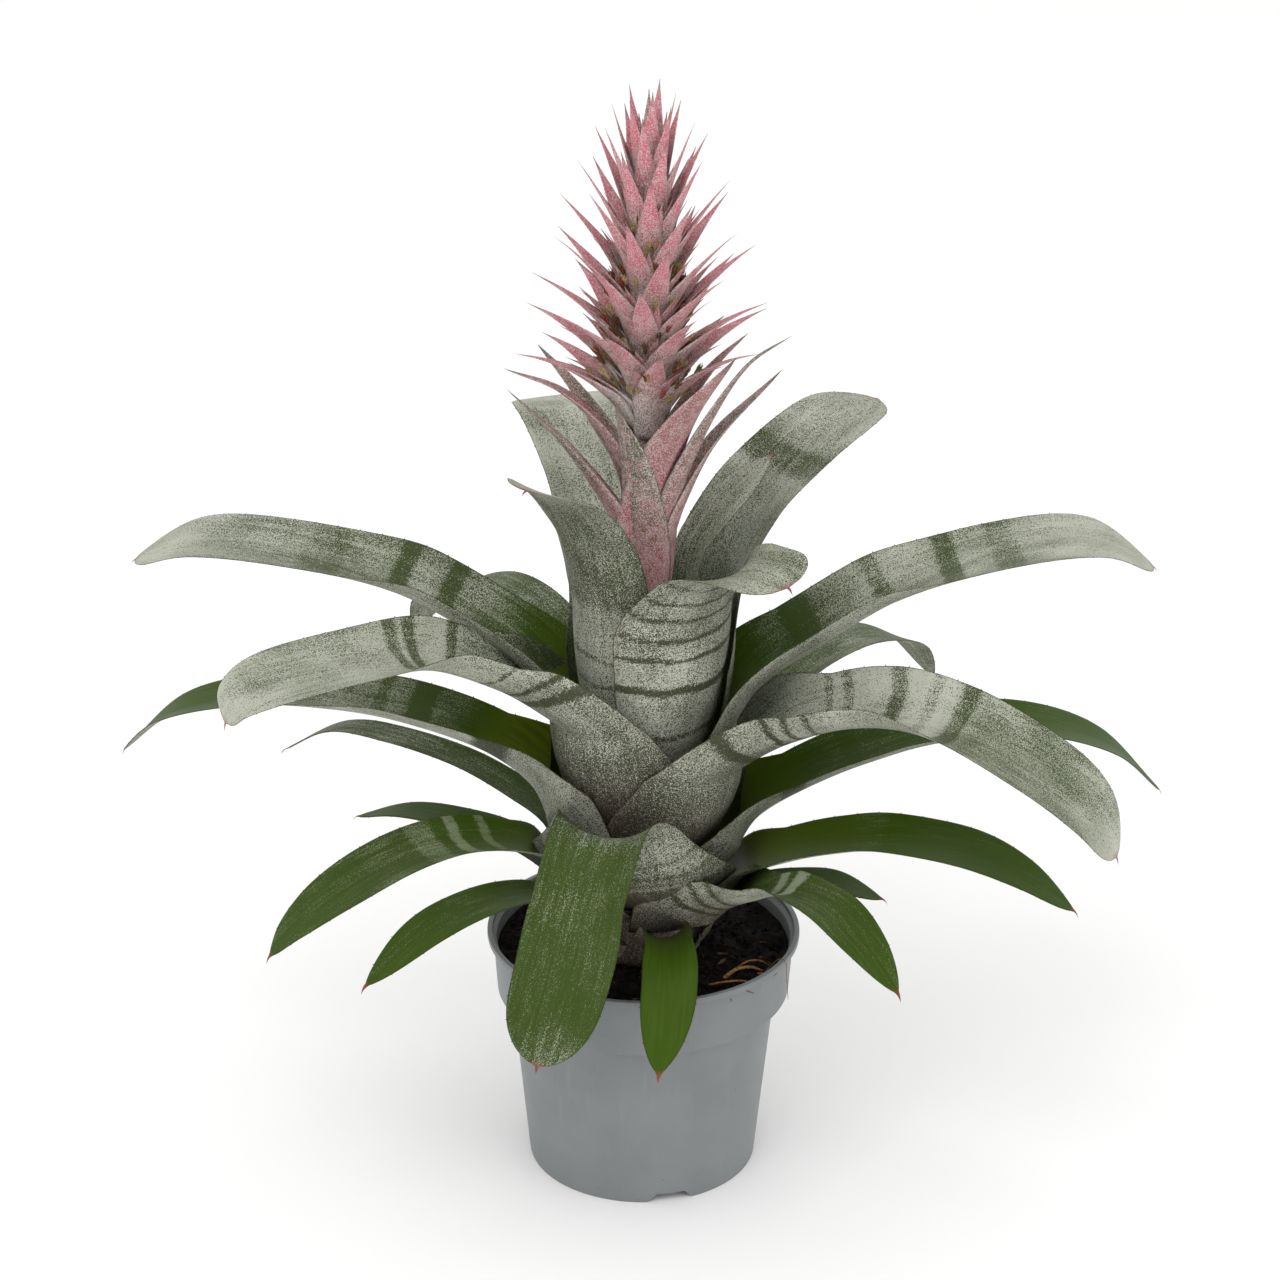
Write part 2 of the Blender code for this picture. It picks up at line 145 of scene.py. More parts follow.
def rounded(outline, reach, pieces=3):
    """The outline with each corner replaced by a small curve."""
    soft = [outline[0]]
    for before, corner, after in zip(outline, outline[1:], outline[2:]):
        before, corner, after = Vector(before), Vector(corner), Vector(after)
        back = min(reach, (before - corner).length * 0.45)
        forth = min(reach, (after - corner).length * 0.45)
        start = corner + (before - corner).normalized() * back
        end = corner + (after - corner).normalized() * forth
        for piece in range(pieces + 1):
            t = piece / pieces
            spot = start.lerp(corner, t).lerp(corner.lerp(end, t), t)
            soft.append((spot.x, spot.y))
    soft.append(outline[-1])
    return soft


def add_piece(name, mesh, finish):
    made = bpy.data.objects.new(name, mesh)
    bpy.context.scene.collection.objects.link(made)
    mesh.materials.clear()
    mesh.materials.append(finish)
    return made


def mesh_of(form, name):
    """Ends the shaping of a form, and gives its smooth mesh."""
    mesh = bpy.data.meshes.new(name)
    form.to_mesh(mesh)
    form.free()
    mesh.shade_smooth()
    return mesh


def facing(turn):
    """The level direction at this turn from the right."""
    return Vector((math.cos(turn), math.sin(turn), 0))


def turned_mesh(name, outline, steps):
    """A round closed solid from (radius, height) points that start and end on the axis."""
    form = bmesh.new()
    rings = []
    for radius, height in outline:
        if radius < 1e-6:
            rings.append([form.verts.new((0, 0, height * MM))] * steps)
            continue
        turns = [math.tau * step / steps for step in range(steps)]
        ring = [(radius * math.cos(a) * MM, radius * math.sin(a) * MM, height * MM) for a in turns]
        rings.append([form.verts.new(spot) for spot in ring])
    for upper, lower in zip(rings, rings[1:]):
        for step in range(steps):
            after = (step + 1) % steps
            corners = [upper[step], upper[after], lower[after], lower[step]]
            form.faces.new(list(dict.fromkeys(corners)))
    bmesh.ops.recalc_face_normals(form, faces=form.faces)
    return mesh_of(form, name)


def wedge(name, azimuth):
    """The space of one drainage notch, wider at the table than at its top."""
    form = bmesh.new()
    levels = ((NOTCH_FOOT_WIDTH / 2 + 0.25, -0.5), (NOTCH_TOP_WIDTH / 2, NOTCH_HEIGHT))
    spots = [(r, side * half, z) for r in NOTCH_RADII for half, z in levels for side in (-1, 1)]
    corners = [form.verts.new(Vector(spot) * MM) for spot in spots]
    bmesh.ops.convex_hull(form, input=corners)
    bmesh.ops.recalc_face_normals(form, faces=form.faces)
    mesh = mesh_of(form, name)
    mesh.transform(Matrix.Rotation(math.radians(azimuth), 4, "Z"))
    return mesh


def drain(name, index):
    """The space of one drain hole in the pot's floor."""
    form = bmesh.new()
    r = DRAIN_RADIUS * MM
    bmesh.ops.create_cone(form, cap_ends=True, segments=32, radius1=r, radius2=r, depth=8 * MM)
    mesh = mesh_of(form, name)
    out = facing(math.tau * (index + DRAIN_TURN) / DRAIN_HOLES) * DRAIN_RING * MM
    mesh.transform(Matrix.Translation(out + Vector((0, 0, 5 * MM))))
    return mesh


def cut_away(piece, meshes):
    """Cuts each closed mesh out of the piece, and keeps only the result."""
    cutters = []
    for mesh in meshes:
        cutter = bpy.data.objects.new(mesh.name, mesh)
        bpy.context.scene.collection.objects.link(cutter)
        cutters.append(cutter)
        boolean = piece.modifiers.new(mesh.name, "BOOLEAN")
        boolean.operation = "DIFFERENCE"
        boolean.solver = "EXACT"
        boolean.object = cutter
    bpy.context.view_layer.update()
    result = piece.evaluated_get(bpy.context.evaluated_depsgraph_get())
    cut = bpy.data.meshes.new_from_object(result)
    piece.modifiers.clear()
    piece.data = cut
    for cutter in cutters:
        bpy.data.objects.remove(cutter)


grey_plastic, wire, shader = new_finish("grey_polypropylene", Specular_IOR_Level=0.45)
drift = wire.grain(0.03, 3).step(0.3, 0.7)
scuff = wire.grain(0.004, 4, stretch=(1, 1, 0.12)).step(0.55, 0.8)
fleck = wire.grain(0.0016, 1, seed=0.3).step(0.76, 0.8)
dust = wire.grain(0.0007, 2)
plastic = drift.between((0.178, 0.19, 0.194), (0.2, 0.214, 0.218))
plastic = (scuff * 0.25).between(plastic, (0.29, 0.31, 0.32))
plastic = (fleck * 0.5).between(plastic, (0.07, 0.06, 0.05))
join(
    shader,
    Base_Color=plastic,
    Roughness=0.42 + dust * 0.12 + scuff * 0.1,
    Normal=wire.relief(dust, 0.00006),
)

pot_mesh = turned_mesh("nursery_pot", rounded(POT_OUTLINE, POT_CORNER), POT_STEPS)
pot = add_piece("nursery_pot", pot_mesh, grey_plastic)
notches = [wedge(f"notch_{i}", azimuth) for i, azimuth in enumerate(NOTCH_AZIMUTHS)]
drains = [drain(f"drain_{i}", i) for i in range(DRAIN_HOLES)]
cut_away(pot, notches + drains)
pot.data.shade_smooth()
pot.data.set_sharp_from_angle(angle=POT_SHARPEST_SMOOTH)
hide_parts("pot")
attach(pot, "root")


# Soil
# Damp peat and composted bark, nearly black, filled to just below the lip. Its top is loose
# and crumbly, a little higher round the plant.
SOIL_EDGE = 60.3
SOIL_MIDDLE_HEIGHT = 98.6
SOIL_FALL = 1.7
SOIL_WALL = ((59, 79.8), (53.6, 79.4), (46.2, 6))
SOIL_FOOT = 6
SOIL_RINGS = 62
SOIL_STEPS = 220


def soil_level(x, y):
    """Height of the soil's top in millimetres."""
    out = math.hypot(x, y)
    level = SOIL_MIDDLE_HEIGHT - SOIL_FALL * (out / SOIL_EDGE) ** 2
    lumps = noise.noise(Vector((x, y, 0)) * 0.11) * 2.2
    crumbs = noise.noise(Vector((x, y, 9)) * 0.42) * 1.3
    crumbs += noise.noise(Vector((x, y, 5)) * 0.95) * 0.7
    return level + (lumps + crumbs) * min(1, (SOIL_EDGE + 0.6 - out) / 3)


def soil_mesh():
    """The soil as one closed solid: its rough top, then its wall and its foot in the pot."""
    form = bmesh.new()
    rings = [[form.verts.new((0, 0, soil_level(0, 0) * MM))] * SOIL_STEPS]
    turns = [math.tau * step / SOIL_STEPS for step in range(SOIL_STEPS)]
    for ring in range(1, SOIL_RINGS + 1):
        out = SOIL_EDGE * ring / SOIL_RINGS
        spots = [(out * math.cos(a), out * math.sin(a)) for a in turns]
        rings.append([form.verts.new(Vector((x, y, soil_level(x, y))) * MM) for x, y in spots])
    for out, height in SOIL_WALL:
        spots = [Vector((out * math.cos(a), out * math.sin(a), height)) * MM for a in turns]
        rings.append([form.verts.new(spot) for spot in spots])
    rings.append([form.verts.new((0, 0, SOIL_FOOT * MM))] * SOIL_STEPS)
    for inner, outer in zip(rings, rings[1:]):
        for step in range(SOIL_STEPS):
            after = (step + 1) % SOIL_STEPS
            corners = [inner[step], outer[step], outer[after], inner[after]]
            form.faces.new(list(dict.fromkeys(corners)))
    bmesh.ops.recalc_face_normals(form, faces=form.faces)
    return mesh_of(form, "soil")


peat, wire, shader = new_finish("damp_peat", Specular_IOR_Level=0.15)
clod = wire.grain(0.0035, 4)
crumb = wire.grain(0.0011, 3)
fibre = wire.grain(0.0009, 3, stretch=(0.25, 1, 1), seed=1.7).step(0.64, 0.74)
earth = clod.step(0.35, 0.7).between((0.003, 0.0022, 0.0018), (0.011, 0.007, 0.005))
earth = (fibre * 0.6).between(earth, (0.09, 0.045, 0.02))
join(
    shader,
    Base_Color=earth,
    Roughness=0.75 + crumb * 0.25,
    Normal=wire.relief(clod * 0.6 + crumb * 0.4, 0.0012),
)
soil = add_piece("potting_soil", soil_mesh(), peat)
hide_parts("soil")
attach(soil, "root")


# Soil crumbs, bark and roots
# Loose crumbs of peat lie on the soil with slivers of bark, grains of white perlite and dead
# orange-brown roots. One hair root hangs over the lip at the front right.
CRUMBS = 420
BARK_SLIVERS = 26
PERLITE_GRAINS = 5
STREWN_BETWEEN = (26, 57.5)


def lump(form, middle, size, squeeze, chance, detail):
    """One uneven grain, turned at random, with its size in millimetres."""
    grown = bmesh.ops.create_icosphere(form, subdivisions=detail, radius=1)["verts"]
    turn = Matrix.Rotation(chance.uniform(0, math.tau), 3, (chance.random(), chance.random(), 1))
    for vert in grown:
        bump = 1 + 0.35 * noise.noise(vert.co * 1.7 + middle)
        shaped = Vector((vert.co.x * squeeze[0], vert.co.y * squeeze[1], vert.co.z * squeeze[2]))
        vert.co = (middle + turn @ shaped * size * bump) * MM


def scatter(name, count, sizes, squeeze, seed, finish, sink=0.3, detail=1):
    """Grains strewn over the soil, outside the plant's foot."""
    chance = random.Random(seed)
    form = bmesh.new()
    nearest, furthest = STREWN_BETWEEN
    for _ in range(count):
        out = math.sqrt(chance.uniform(nearest**2, furthest**2))
        turn = chance.uniform(0, math.tau)
        x, y = out * math.cos(turn), out * math.sin(turn)
        size = chance.uniform(*sizes)
        lump(form, Vector((x, y, soil_level(x, y) + size * sink)), size, squeeze, chance, detail)
    made = add_piece(name, mesh_of(form, name), finish)
    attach(made, "root")


bark, wire, shader = new_finish("bark_slivers", Specular_IOR_Level=0.3)
vein = wire.grain(0.0012, 4)
join(
    shader,
    Base_Color=vein.step(0.35, 0.7).between((0.03, 0.014, 0.007), (0.15, 0.075, 0.032)),
    Roughness=0.7 + vein * 0.25,
    Normal=wire.relief(vein, 0.0004),
)
perlite, wire, shader = new_finish("perlite", Specular_IOR_Level=0.3)
pore = wire.grain(0.0005, 2)
join(
    shader,
    Base_Color=pore.step(0.35, 0.6).between((0.25, 0.23, 0.2), (0.6, 0.58, 0.54)),
    Roughness=0.8 + pore * 0.1,
    Normal=wire.relief(pore, 0.0003),
)
scatter("peat_crumbs", CRUMBS, (0.5, 1.9), (1, 0.8, 0.6), 3, peat)
scatter("bark_slivers", BARK_SLIVERS, (1.2, 3.4), (1, 0.28, 0.14), 5, bark, sink=0.35, detail=2)
scatter("perlite_grains", PERLITE_GRAINS, (0.5, 0.9), (1, 0.9, 0.8), 11, perlite, detail=2)


CURVE_PIECES = 12


def curve_through(points, pieces=CURVE_PIECES):
    """A smooth line through points in order, as a fine polyline."""
    ends = [points[0] * 2 - points[1], *points, points[-1] * 2 - points[-2]]
    line = []
    for p0, p1, p2, p3 in zip(ends, ends[1:], ends[2:], ends[3:]):
        for piece in range(pieces):
            t = piece / pieces
            bend = (2 * p0 - 5 * p1 + 4 * p2 - p3) * t * t
            twist = (3 * p1 - p0 - 3 * p2 + p3) * t * t * t
            line.append(0.5 * (2 * p1 + (p2 - p0) * t + bend + twist))
    line.append(points[-1])
    return line


def thread(form, spots, start, end, sides=6):
    """A closed tapering thread along the spots, with its radii in millimetres."""
    line = curve_through([Vector(spot) for spot in spots], 6)
    rings = []
    for i, spot in enumerate(line):
        along = (line[min(i + 1, len(line) - 1)] - line[max(i - 1, 0)]).normalized()
        side = along.cross(Vector((0.3, 0.2, 0.93))).normalized()
        other = along.cross(side)
        radius = mix(start, end, i / (len(line) - 1))
        ring = []
        for k in range(sides):
            turn = math.tau * k / sides
            off = side * math.cos(turn) + other * math.sin(turn)
            ring.append(form.verts.new((spot + off * radius) * MM))
        rings.append(ring)
    for before, after in zip(rings, rings[1:]):
        for k in range(sides):
            form.faces.new((before[k], before[(k + 1) % sides], after[(k + 1) % sides], after[k]))
    form.faces.new(rings[0][::-1])
    form.faces.new(rings[-1])


dead_root, wire, shader = new_finish("dead_root", Specular_IOR_Level=0.3)
strand = wire.grain(0.0009, 3)
join(
    shader,
    Base_Color=strand.step(0.3, 0.7).between((0.07, 0.028, 0.01), (0.36, 0.17, 0.055)),
    Roughness=0.6 + strand * 0.3,
    Normal=wire.relief(strand, 0.0002),
)
ROOTS = (
    (((33, -36, 100.5), (38, -35, 104), (44, -34, 104.5), (49, -31, 101)), 0.9, 0.5),
    (((47, -33, 101), (50, -36, 102.5), (53, -33, 100), (55, -29, 99)), 0.5, 0.25),
    (((38, -44, 99), (41, -47, 101), (45, -46, 99)), 0.4, 0.2),
    (((-46, -34, 99), (-50, -30, 101), (-53, -26, 99)), 0.5, 0.25),
    (((30, -46, 99), (34, -49, 100.5), (36, -52, 98.5)), 0.35, 0.2),
    (((-30, 44, 99), (-22, 49, 102), (-12, 51, 99)), 0.6, 0.3),
    (((22, 46, 99), (31, 42, 102), (38, 44, 99)), 0.5, 0.25),
    (((27, -40, 99.5), (33, -42, 102), (40, -41, 102), (46, -38, 99)), 0.6, 0.3),
    (((36, -30, 99), (42, -27, 103), (48, -24, 102), (52, -22, 98.5)), 0.55, 0.3),
    (((-40, -40, 99), (-44, -37, 101.5), (-47, -38, 99)), 0.4, 0.2),
    (((50, -27, 98.5), (55.5, -29.2, 105.6), (58.3, -30.5, 104.6), (58.8, -31, 98),
      (59.6, -31.6, 88)), 0.24, 0.1),
)
root_form = bmesh.new()
for spots, start, end in ROOTS:
    thread(root_form, spots, start, end)
roots = add_piece("dead_roots", mesh_of(root_form, "dead_roots"), dead_root)
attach(roots, "root")


# Stem
# The stump that carries the leaves, rooted in the soil and drawn out above into the flower
# stalk. It is soft green tissue under a pale, mealy scurf, flushed pink in places.
STEM_PROFILE = (
    (24, 98.7), (22.5, 110), (18.5, 125), (13.5, 140), (9, 155), (6, 170), (4.6, 190), (4, 240),
    (4, 320), (4.6, 340), (4.6, 360),
)
STALK_TOP = 367

stalk_scurf, wire, shader = new_finish("scurfy_stalk", Specular_IOR_Level=0.25)
scale = wire.grain(0.0006, 2)
flush = wire.grain(0.012, 2).step(0.4, 0.6)
skin_tone = flush.between((0.12, 0.13, 0.08), (0.26, 0.11, 0.12))
join(
    shader,
    Base_Color=scale.step(0.42, 0.56).between(skin_tone, (0.42, 0.4, 0.36)),
    Roughness=0.6 + scale * 0.3,
    Normal=wire.relief(scale, 0.0002),
)
stem_outline = ((0, STEM_PROFILE[0][1]),) + STEM_PROFILE + ((4.4, STALK_TOP), (0, STALK_TOP))
stem_mesh = turned_mesh("stem_and_stalk", stem_outline[::-1], 32)
stem = add_piece("stem_and_stalk", stem_mesh, stalk_scurf)
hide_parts("stem")
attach(stem, "root")


# Leaves
# Thick leathery straps whose broad bases overlap into a water-holding urn. They are green
# under silver scales, which stand in cross bands, and end in a small spine. The margins
# carry little dark teeth.
FIRST_SEAT = 99.4
SEAT_STEP = 2.9
SEAT_GAP = 0.9
LEAF_THICKNESS = 0.7
BLADE_TAPER = 0.12
TIP_STARTS = 0.74
POINT_STARTS = 0.62
ROUND_TIP_WIDTH = 47
POINTED_TIP_WIDTH = 36
TIP_HALF_WIDTH = 0.9
RADIUS_AT_TIP = 110
LIFT_ENDS = 0.6
ROW_STEP = 1.1
LEAF_COLUMNS = 22
MARGIN = 0.5
SPINE_LENGTH = 3.6
SPINE_STEPS = 6
SPINE_DROOP = 1.2
BROAD_LEAF = 36
TOOTH_SPACING = 9
NARROW_LEAF_TOOTH_SPACING = 14
TOOTH_SIZE = 0.7
TEETH_START = 8
ROWS_PAST_TEETH = 12
BAND_STRENGTH = 1.4
# Lower sheaths lose scales and turn brown: partly real age, partly painted shade on the sheaths.
BARE_AND_SHADE_LOW_DOWN = 0.3
SHEATH_BROWN_AND_SHADE = 0.78
MARGIN_BLUSH = 0.45

# name, azimuth, sway of the tip, blade width, half wrap of the sheath in degrees, how far below
# and above its rim the leaf narrows to its blade, radius of the blade's channel, lift of the
# margins at the rim in degrees, slope of the half nearest the front, (radius, height) of the rim
# where the blade leaves the urn, then of the blade out to its tip
LEAVES = (
    ("front_short", -76, -10, 24, 40, 14, 12, 11, 0, 0, (30.5, 109),
     ((38, 119), (52, 124), (70, 119), (84, 102), (91, 87))),
    ("right_short", -2, 0, 24, 42, 10, 10, 34, 0, 0, (29.5, 112),
     ((42, 121), (60, 126), (80, 127), (99, 120))),
    ("back_left_short", 152, 0, 20, 42, 13, 13, 34, 0, 0, (31, 112),
     ((42, 123), (60, 130), (84, 133), (115, 131), (140, 122))),
    ("front_left_short", 224, 0, 25, 32, 8, 8, 34, 0, 0, (32, 118),
     ((43, 132), (62, 142), (92, 148), (120, 146), (150, 134))),
    ("back_left_thin", 147, 0, 18, 36, 14, 14, 34, 0, 0, (38.2, 125),
     ((44, 142), (62, 150), (90, 157), (126, 159), (158, 155), (188, 136))),
    ("front_right", -42, -6, 29, 84, 34, 40, 17, 20, 0.35, (37, 121),
     ((46, 130), (60, 139), (80, 150), (104, 153), (126, 146), (147, 135))),
    ("right_lower", -15, 0, 38, 64, 26, 26, 34, 0, 0, (38, 129),
     ((46, 139), (62, 147), (80, 153.5), (105, 159), (134, 158.5), (158, 151), (179, 138))),
    ("left_lower", 207, 0, 37, 62, 26, 26, 34, 20, 0, (39.8, 134),
     ((46, 148), (62, 157), (84, 162), (110, 161), (137, 152), (156, 141), (166, 131))),
    ("front_hanging", 257, -13, 44, 98, 32, 20, 25, 0, 0, (49, 159),
     ((53, 170), (60, 174.5), (68.5, 168.5), (77, 150), (86, 121), (96, 88))),
    ("right_rear", 10, 0, 42, 90, 34, 34, 28, 30, 0.3, (39.6, 143),
     ((47, 154), (64, 164), (90, 175), (125, 183.5), (160, 185.5), (195, 174), (220, 151))),
    ("left_rear", 166, 0, 45, 110, 44, 40, 28, 34, 0.5, (39.8, 151),
     ((47, 165), (66, 178), (95, 187), (130, 191), (165, 190), (203, 179), (227, 159))),
    ("back_right_thin", 48, 0, 32, 62, 29, 29, 34, 0, 0, (40.6, 162),
     ((48, 172), (70, 184), (100, 192), (135, 193), (170, 180), (192, 155))),
    ("back_left", 125, 0, 36, 62, 26, 26, 34, 0, 0, (39.8, 176),
     ((46, 192), (64, 207), (90, 216), (122, 216), (155, 201), (177, 176))),
    ("right_middle", -22, 0, 58, 140, 80, 46, 24, 16, 0, (40, 185),
     ((47, 191), (66, 204), (95, 216), (132, 218.5), (165, 208), (187, 194), (199, 177))),
    ("left_middle", 205, 0, 54, 131, 62, 42, 21, 16, 0, (38.4, 204),
     ((45, 211), (66, 227), (96, 242), (126, 247), (155, 246), (173, 241), (178, 233))),
    ("right_upper", 5, 0, 52, 84, 46, 36, 24, 0, 0, (37, 202),
     ((47, 217), (70, 233), (102, 252.5), (142, 268.5), (180, 273), (206, 261))),
    ("left_upper", 174, 0, 52, 84, 46, 36, 24, 0, 0, (35.5, 204),
     ((46, 220), (68, 236), (100, 253.5), (140, 266), (180, 269.5), (208, 260))),
    ("back_right_tall", 38, 0, 48, 60, 14, 14, 42, 0, 0, (36, 240),
     ((40, 261), (57, 282), (79, 299), (101, 309), (120, 312))),
    ("back_left_tall", 110, 0, 50, 60, 12, 12, 42, 0, 0, (33, 240),
     ((38, 258), (52, 276), (72, 293), (96, 301), (122, 297))),
    ("front_urn", -50, 12, 52, 62, 4, 34, 42, 0, 0, (34.2, 254),
     ((39, 268), (46, 277), (58, 280), (70, 277))),
    ("front_left_urn", 231, 0, 46, 62, 9, 9, 34, 0, 0, (29, 250),
     ((33, 273), (44, 300), (58, 315), (72, 322))),
    ("right_inner", 25, 0, 26, 60, 9, 9, 20, 0, 0, (20, 246),
     ((22, 268), (32, 286), (44, 297), (55, 306))),
)

